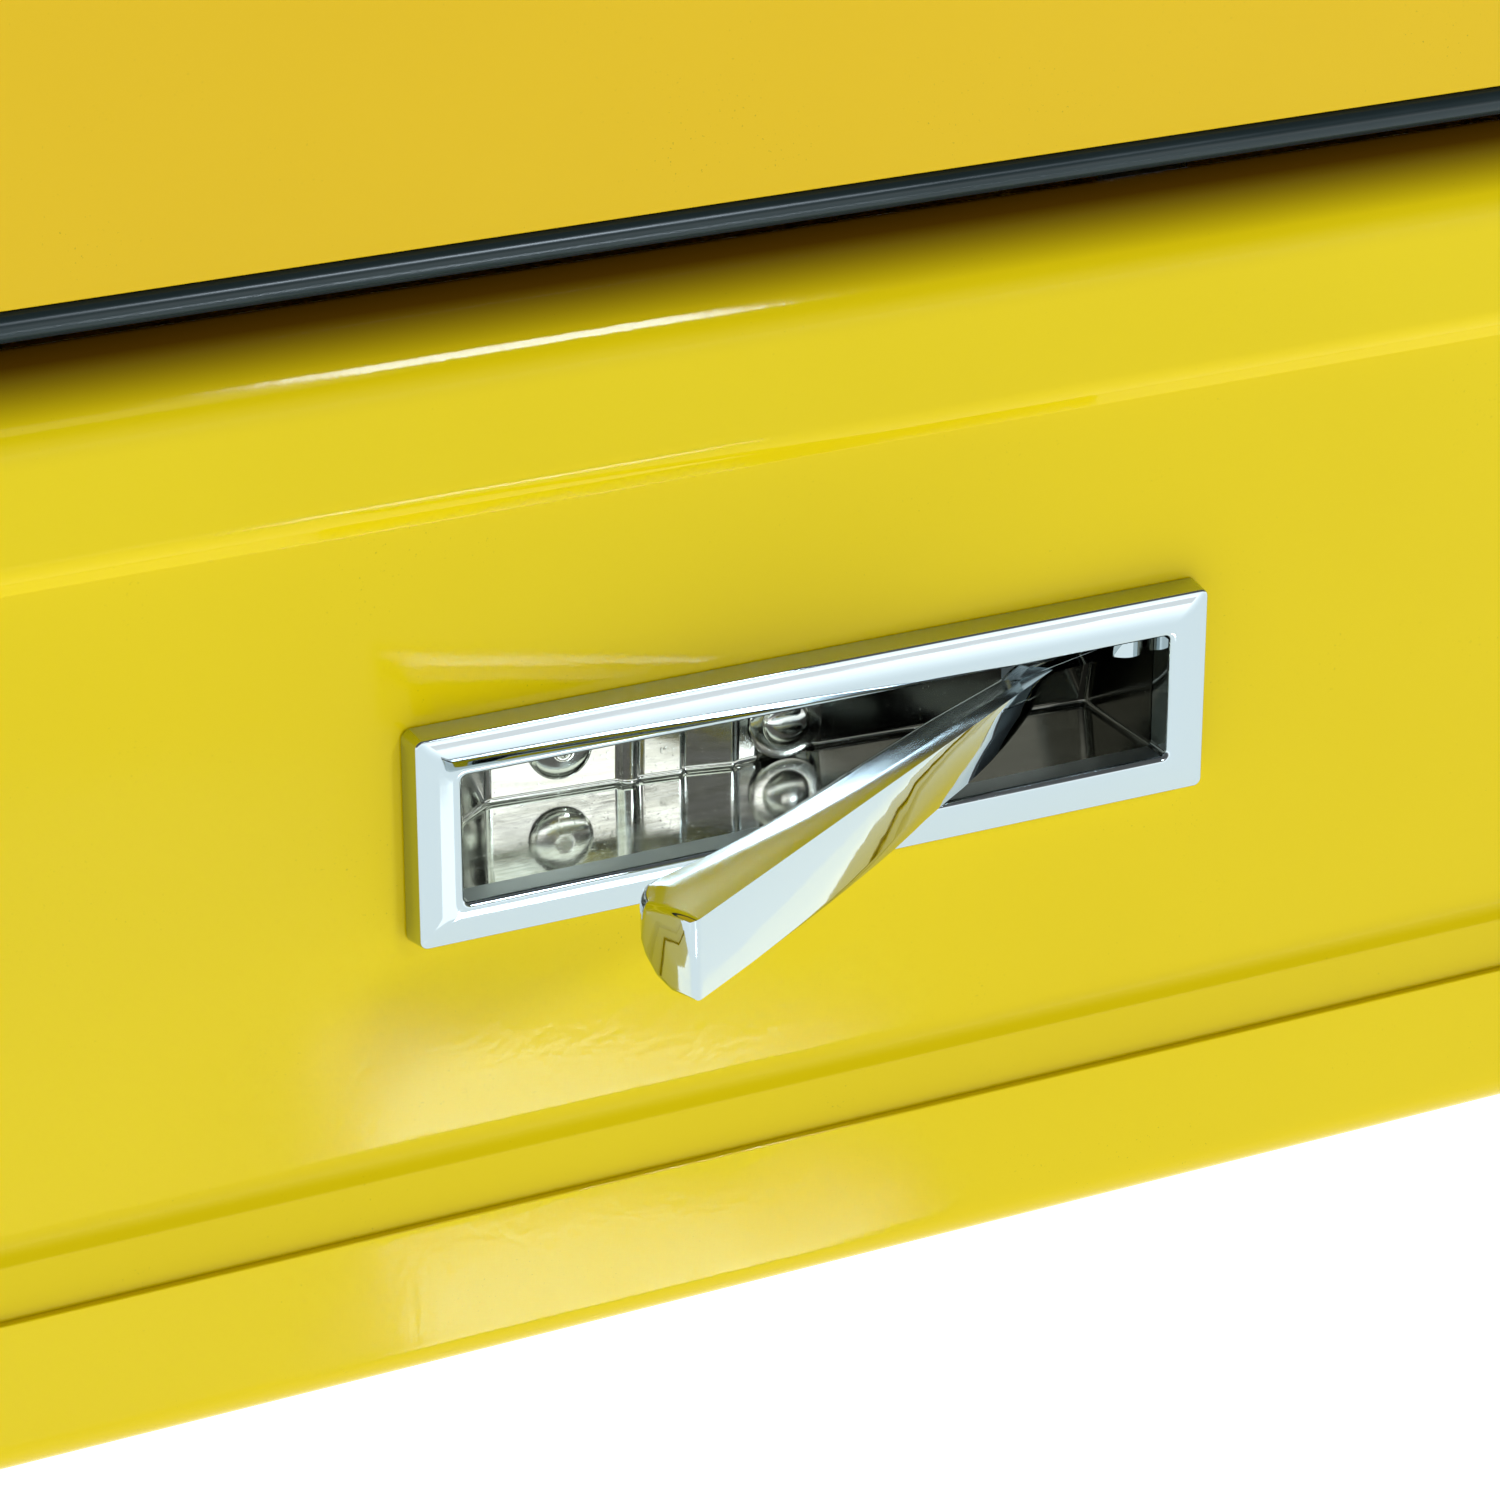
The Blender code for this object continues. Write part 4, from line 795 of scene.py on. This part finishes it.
def lever_section(along):
    """One cross-section: front face, lower facet, chamfered back, round crest and flat top."""
    flat = line_through(LEVER_FLAT, along)
    rear = line_through(LEVER_REAR, along)
    low = line_through(LEVER_LOW, along)
    facet = min(max(line_through(LEVER_FACET, along), low + 0.02), 5.6)
    top = LEVER_TOP / MM
    height = top - low
    tuck = (facet - low) * math.tan(TUCK_ANGLE)
    chamfer = min(3.4, height * 0.30)
    crest = min(2.6, height * 0.30)
    points = [(0.0, top), (0.0, facet), (tuck, low), (max(rear * 0.42, tuck + 0.2), low)]
    points += [(max(rear * 0.68, tuck + 0.4), low + 0.35 * chamfer)]
    points += [(max(rear * 0.90, tuck + 0.6), low + 1.05 * chamfer), (rear, low + 1.7 * chamfer)]
    shelf = flat + 0.60 * (rear - flat)
    brow = top - min((shelf - flat) * math.tan(BROW_ANGLE), 0.12 * height)
    for a in range(0, 85, 7):
        turn = math.radians(a)
        points.append((shelf + (rear - shelf) * math.cos(turn), brow - crest + crest * math.sin(turn)))
    points.append((shelf, brow - 0.02))
    for t in (1.0, 0.8, 0.6, 0.4, 0.2):
        points.append((flat * t, top + 0.09 * flat * t * (1 - t)))
    lean = 0.22 * max(0.0, 1.0 - along / 8.0)
    return [lever_point((along + lean * b) * MM, b * MM, z * MM) for b, z in points]


def lever_end(section, step, steps=6):
    """The free end's rounding: the section shrinks towards its middle as it closes."""
    radius = 1.3 * MM
    turn = math.radians(90 * step / steps)
    inset = radius * (1 - math.cos(turn))
    centre = sum((Vector(p) for p in section), Vector()) / len(section)
    outward = Vector((-math.cos(LEVER_ANGLE), -math.sin(LEVER_ANGLE), 0.0)) * radius * math.sin(turn)
    moved = []
    for point in section:
        inward = centre - Vector(point)
        moved.append(tuple(Vector(point) + inward.normalized() * min(inset, inward.length) + outward))
    return moved


def lever_neck():
    """The neck that joins the lever's upper edge to the shaft, undercut where it leaves the lever."""
    plan = [(93.0, 0.8), (93.0, 5.2), (105.0, 3.6), (112.4, -1.4), (113.4, -4.0), (111.4, -6.6)]
    undercut = [2.4, 0.0, 0.0, 0.6, 0.6, 1.8]
    below, above = [], []
    for (along, behind), deep in zip(plan, undercut):
        below.append((*lever_point(along * MM, (behind + deep) * MM, 0.0)[:2], LATCH_Z + NECK_LOW))
        above.append((*lever_point(along * MM, behind * MM, 0.0)[:2], LATCH_Z + NECK_HIGH))
    return loft([below, above])


def lever():
    """The finger lever: flared and undercut at its free end, with a rounded toe and a neck to the pivot."""
    first = lever_section(LEVER_STATIONS[0])
    sections = [lever_end(first, step) for step in range(6, 0, -1)]
    sections += [lever_section(station) for station in LEVER_STATIONS]
    piece = make_piece("lever", loft(sections), CHROME, "lever", ["latch_lever"], 9)
    combine(piece, lever_neck(), "UNION")
    low, high = LATCH_Z + NECK_LOW, LATCH_Z + NECK_HIGH
    barrel = [(low - 0.2 * MM, BARREL_RADIUS), (high + 0.6 * MM, BARREL_RADIUS)]
    combine(piece, turned(barrel, (PIVOT.x, PIVOT.y), "Z", 32, False), "UNION")
    bore = [(low - 4 * MM, SHAFT_BORE), (high + 4 * MM, SHAFT_BORE)]
    combine(piece, turned(bore, (PIVOT.x, PIVOT.y), "Z", 32, False), "DIFFERENCE")
    bevel(piece, 0.30 * MM, 3, 30)


# ---- handles ----------------------------------------------------------------------------------
def bail_line(half, front, pivot_y, z, corner, stub, elbow, segments):
    """Half a bail mirrored: stub, small elbow, arm, rounded corner and the cross bar."""
    right = [(half - stub, pivot_y), (half - elbow - 0.5 * MM, pivot_y)]
    right += arc((half - elbow, pivot_y - elbow), elbow, 90, 0, segments)
    right += arc((half - corner, front + corner), corner, 0, -90, segments * 2)
    left = [(-x, y) for x, y in reversed(right)]
    return [(x, y, z) for x, y in right + left]


def carry_handle():
    """The bail on the lid, and its ribbed moulded grip."""
    radius = 4 * MM
    half = 85 * MM
    line = bail_line(half, -72 * MM, HANDLE_PIVOT.y, HANDLE_PIVOT.z, 14 * MM, 10 * MM, 4 * MM, 8)
    make_piece("carry_bail", tube(line, radius), HANDLE_CHROME, "carry_handle", ["carry_handle_bail"],
               40)
    low_x, high_x = GRIP_LOW.x, GRIP_HIGH.x
    outer = (GRIP_HIGH.z - GRIP_LOW.z) / 2
    bore = radius + GAP
    profile = [(low_x, bore), (low_x, outer * 0.80), (low_x + 1.0 * MM, outer * 0.90)]
    profile += [(low_x + 3.0 * MM, outer)]
    ribs = 11
    groove = 0.9 * MM
    start = low_x + 10 * MM
    pitch = (high_x - low_x - 20 * MM) / ribs
    profile.append((start - 2 * MM, outer))
    for rib in range(ribs):
        foot = start + rib * pitch
        profile += [(foot + 0.10 * pitch, outer), (foot + 0.22 * pitch, outer - groove)]
        profile += [(foot + 0.38 * pitch, outer - groove), (foot + 0.50 * pitch, outer)]
        profile += [(foot + 0.90 * pitch, outer)]
    profile += [(high_x - 3.0 * MM, outer), (high_x - 1.0 * MM, outer * 0.90), (high_x, outer * 0.80)]
    profile += [(high_x, bore)]
    centre = ((GRIP_LOW.y + GRIP_HIGH.y) / 2, (GRIP_LOW.z + GRIP_HIGH.z) / 2)
    grip = make_piece("carry_grip", turned(profile, centre, "X", 48), GRIP, "carry_handle",
                      ["carry_handle_grip"], 35)
    bevel(grip, 0.25 * MM, 2, 25)


def tray_handle():
    """The tray's plain wire bail."""
    pivot = TRAY_HANDLE_PIVOT
    line = bail_line(55 * MM, pivot.y - 34 * MM, pivot.y, pivot.z, 10 * MM, 10 * MM, 4 * MM, 8)
    make_piece("tray_bail", tube(line, 2.5 * MM, 20), HANDLE_CHROME, "tray_handle", ["tray_handle_bail"],
               40)


# ---- fittings refined from their CAD nodes ----------------------------------------------------
def refined(node, body, material, width):
    """A welded copy of a CAD node with its edges broken, standing for it."""
    mesh_data = bmesh.new()
    mesh_data.from_mesh(frame["nodes"][node].data)
    bmesh.ops.remove_doubles(mesh_data, verts=mesh_data.verts, dist=0.000002)
    bmesh.ops.dissolve_limit(mesh_data, angle_limit=math.radians(0.5), verts=mesh_data.verts,
                             edges=mesh_data.edges)
    piece = make_piece(f"{node}_finish", mesh_data, material, body, [node], 32)
    bevel(piece, width, 2, 32)


def fittings():
    """The zinc-plated hardware and the painted tray, each with its own width of broken edge."""
    body_of_node = {n: b for b, nodes in frame["record"]["behaviour"]["bodies"].items() for n in nodes}
    groups = (
        (0.22, ("hinge_left_body_leaf", "hinge_right_body_leaf",
                "hinge_left_lid_leaf", "hinge_right_lid_leaf")),
        (0.30, ("hinge_left_pin", "hinge_right_pin")),
        (0.25, ("latch_strike", "latch_cam", "latch_shaft", "shaft_guide")),
        (0.35, ("carry_handle_bracket_left", "carry_handle_bracket_right")),
        (0.20, ("stay_arm_left", "stay_arm_right",
                "stay_lid_stud_left", "stay_lid_stud_right",
                "stay_body_stud_left", "stay_body_stud_right",
                "tray_handle_ear_left", "tray_handle_ear_right")),
        (0.30, ("tray_rest_front_left", "tray_rest_front_right",
                "tray_rest_back_left", "tray_rest_back_right")),
    )
    for width, nodes in groups:
        for node in nodes:
            refined(node, body_of_node[node], ZINC, width * MM)
    painted = ["tray_pan", "tray_long_divider"] + [f"tray_cross_divider_{i}" for i in (1, 2, 3)]
    for node in painted:
        refined(node, body_of_node[node], YELLOW_TRAY, 0.22 * MM)


def rivet_heads():
    """Smooth domed heads for every hinge, handle and tray-rest rivet."""
    for body, nodes in frame["record"]["behaviour"]["bodies"].items():
        for node in nodes:
            if "rivet" not in node or node.startswith("latch"):
                continue
            low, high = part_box(node)
            size = high - low
            middle = (low + high) / 2
            axis = "Z" if node.startswith("carry") else "Y"
            radius = size.x / 2
            if axis == "Z":
                foot, tip = low.z, high.z
                centre = (middle.x, middle.y)
            else:
                outward = 1 if node.startswith("hinge") or "front" in node else -1
                foot, tip = (low.y, high.y) if outward > 0 else (high.y, low.y)
                centre = (middle.x, middle.z)
            height = tip - foot
            profile = [(foot, radius * 0.97), (foot + 0.12 * height, radius)]
            for a in range(15, 90, 12):
                turn = math.radians(a)
                rise = 0.12 + 0.88 * math.sin(turn)
                profile.append((foot + rise * height, radius * math.cos(turn)))
            profile.append((tip, radius * 0.05))
            mesh_data = turned(profile, centre, axis, 28, False)
            make_piece(f"{node}_head", mesh_data, ZINC, body, [node], 50)


# ---- studio -----------------------------------------------------------------------------------
CAMERA_PLACE = Vector((-0.3049, -0.6891, 0.3673))
CAMERA_AZIMUTH = math.radians(26.9)
CAMERA_ELEVATION = math.radians(23.4)
CAMERA_LENS = 121.34
SENSOR = 36.0

FLOOR_REACH = 6.0
FLOOR_LEVEL = -0.3 * MM
GLOW_AT_HORIZON = 1.35
GLOW_OVERHEAD = 0.14
GLOW_ENDS_AT = 0.27


def camera():
    """The view from the front left and above, level, close to the latch."""
    data = bpy.data.cameras.new("camera")
    data.lens = CAMERA_LENS
    data.sensor_width = SENSOR
    data.clip_start = 0.01
    view = bpy.data.objects.new("camera", data)
    bpy.context.scene.collection.objects.link(view)
    forward = Vector((
        math.sin(CAMERA_AZIMUTH) * math.cos(CAMERA_ELEVATION),
        math.cos(CAMERA_AZIMUTH) * math.cos(CAMERA_ELEVATION),
        -math.sin(CAMERA_ELEVATION),
    ))
    view.location = CAMERA_PLACE
    view.rotation_euler = forward.to_track_quat("-Z", "Y").to_euler()
    bpy.context.scene.camera = view


def softbox(name, azimuth, elevation, distance, width, height, radiance, tint=(1.0, 1.0, 1.0)):
    """An area light aimed at the latch; azimuth 0 is straight in front, positive towards +X."""
    target = Vector((0.0, -HALF_DEPTH, LATCH_Z))
    away = Vector((
        math.sin(math.radians(azimuth)) * math.cos(math.radians(elevation)),
        -math.cos(math.radians(azimuth)) * math.cos(math.radians(elevation)),
        math.sin(math.radians(elevation)),
    ))
    data = bpy.data.lights.new(name, "AREA")
    data.shape = "RECTANGLE"
    data.size = width
    data.size_y = height
    data.energy = radiance * math.pi * width * height
    data.color = tint
    light = bpy.data.objects.new(name, data)
    bpy.context.scene.collection.objects.link(light)
    light.location = target + away * distance
    light.rotation_euler = (-away).to_track_quat("-Z", "Y").to_euler()
    light.visible_camera = False


def floor():
    """The table under the box."""
    mesh = bpy.data.meshes.new("floor")
    sides = ((-1, -1), (1, -1), (1, 1), (-1, 1))
    corners = [(x * FLOOR_REACH, y * FLOOR_REACH, FLOOR_LEVEL) for x, y in sides]
    mesh.from_pydata(corners, [], [(0, 1, 2, 3)])
    mesh.materials.append(floor_material())
    ground = bpy.data.objects.new("floor", mesh)
    bpy.context.scene.collection.objects.link(ground)


def backdrop():
    """A world that glows at the horizon and falls off to a dim ceiling."""
    world = bpy.data.worlds.new("studio")
    bpy.context.scene.world = world
    world.use_nodes = True
    tree = world.node_tree
    background = tree.nodes["Background"]
    place = tree.nodes.new("ShaderNodeTexCoord")
    split = tree.nodes.new("ShaderNodeSeparateXYZ")
    fall = tree.nodes.new("ShaderNodeMapRange")
    fall.interpolation_type = "SMOOTHSTEP"
    fall.inputs["From Min"].default_value = 0.0
    fall.inputs["From Max"].default_value = GLOW_ENDS_AT
    fall.inputs["To Min"].default_value = GLOW_AT_HORIZON
    fall.inputs["To Max"].default_value = GLOW_OVERHEAD
    tree.links.new(place.outputs["Generated"], split.inputs["Vector"])
    tree.links.new(split.outputs["Z"], fall.inputs["Value"])
    tree.links.new(fall.outputs["Result"], background.inputs["Strength"])
    background.inputs["Color"].default_value = (0.97, 0.985, 1.0, 1.0)


def studio():
    """Table, backdrop, three lights and plain display colours."""
    floor()
    backdrop()
    softbox("key", 24.8, 29.0, 4.5, 0.52, 0.56, 46.0, (0.75, 0.88, 1.0))
    softbox("card", 13.0, 25.0, 3.0, 0.75, 0.45, 1.7, (0.95, 0.98, 1.0))
    softbox("rear_top", 180.0, 62.0, 1.8, 1.4, 0.9, 1.6)
    settings = bpy.context.scene.view_settings
    settings.view_transform = "Standard"
    settings.look = "None"
    settings.exposure = 0.0


body_skin()
base_skin()
lid_skin()
trim()
bezel()
cup()
cup_fixing("cup_screw_left", "latch_cup_rivet_left", -28.3 * MM, LATCH_Z - 2.6 * MM, 4.9 * MM, True, False)
cup_fixing("cup_rivet_right", "latch_cup_rivet_right", 6.5 * MM, LATCH_Z - 4.2 * MM, 3.7 * MM, False, True)
lever()
carry_handle()
tray_handle()
fittings()
rivet_heads()
camera()
studio()
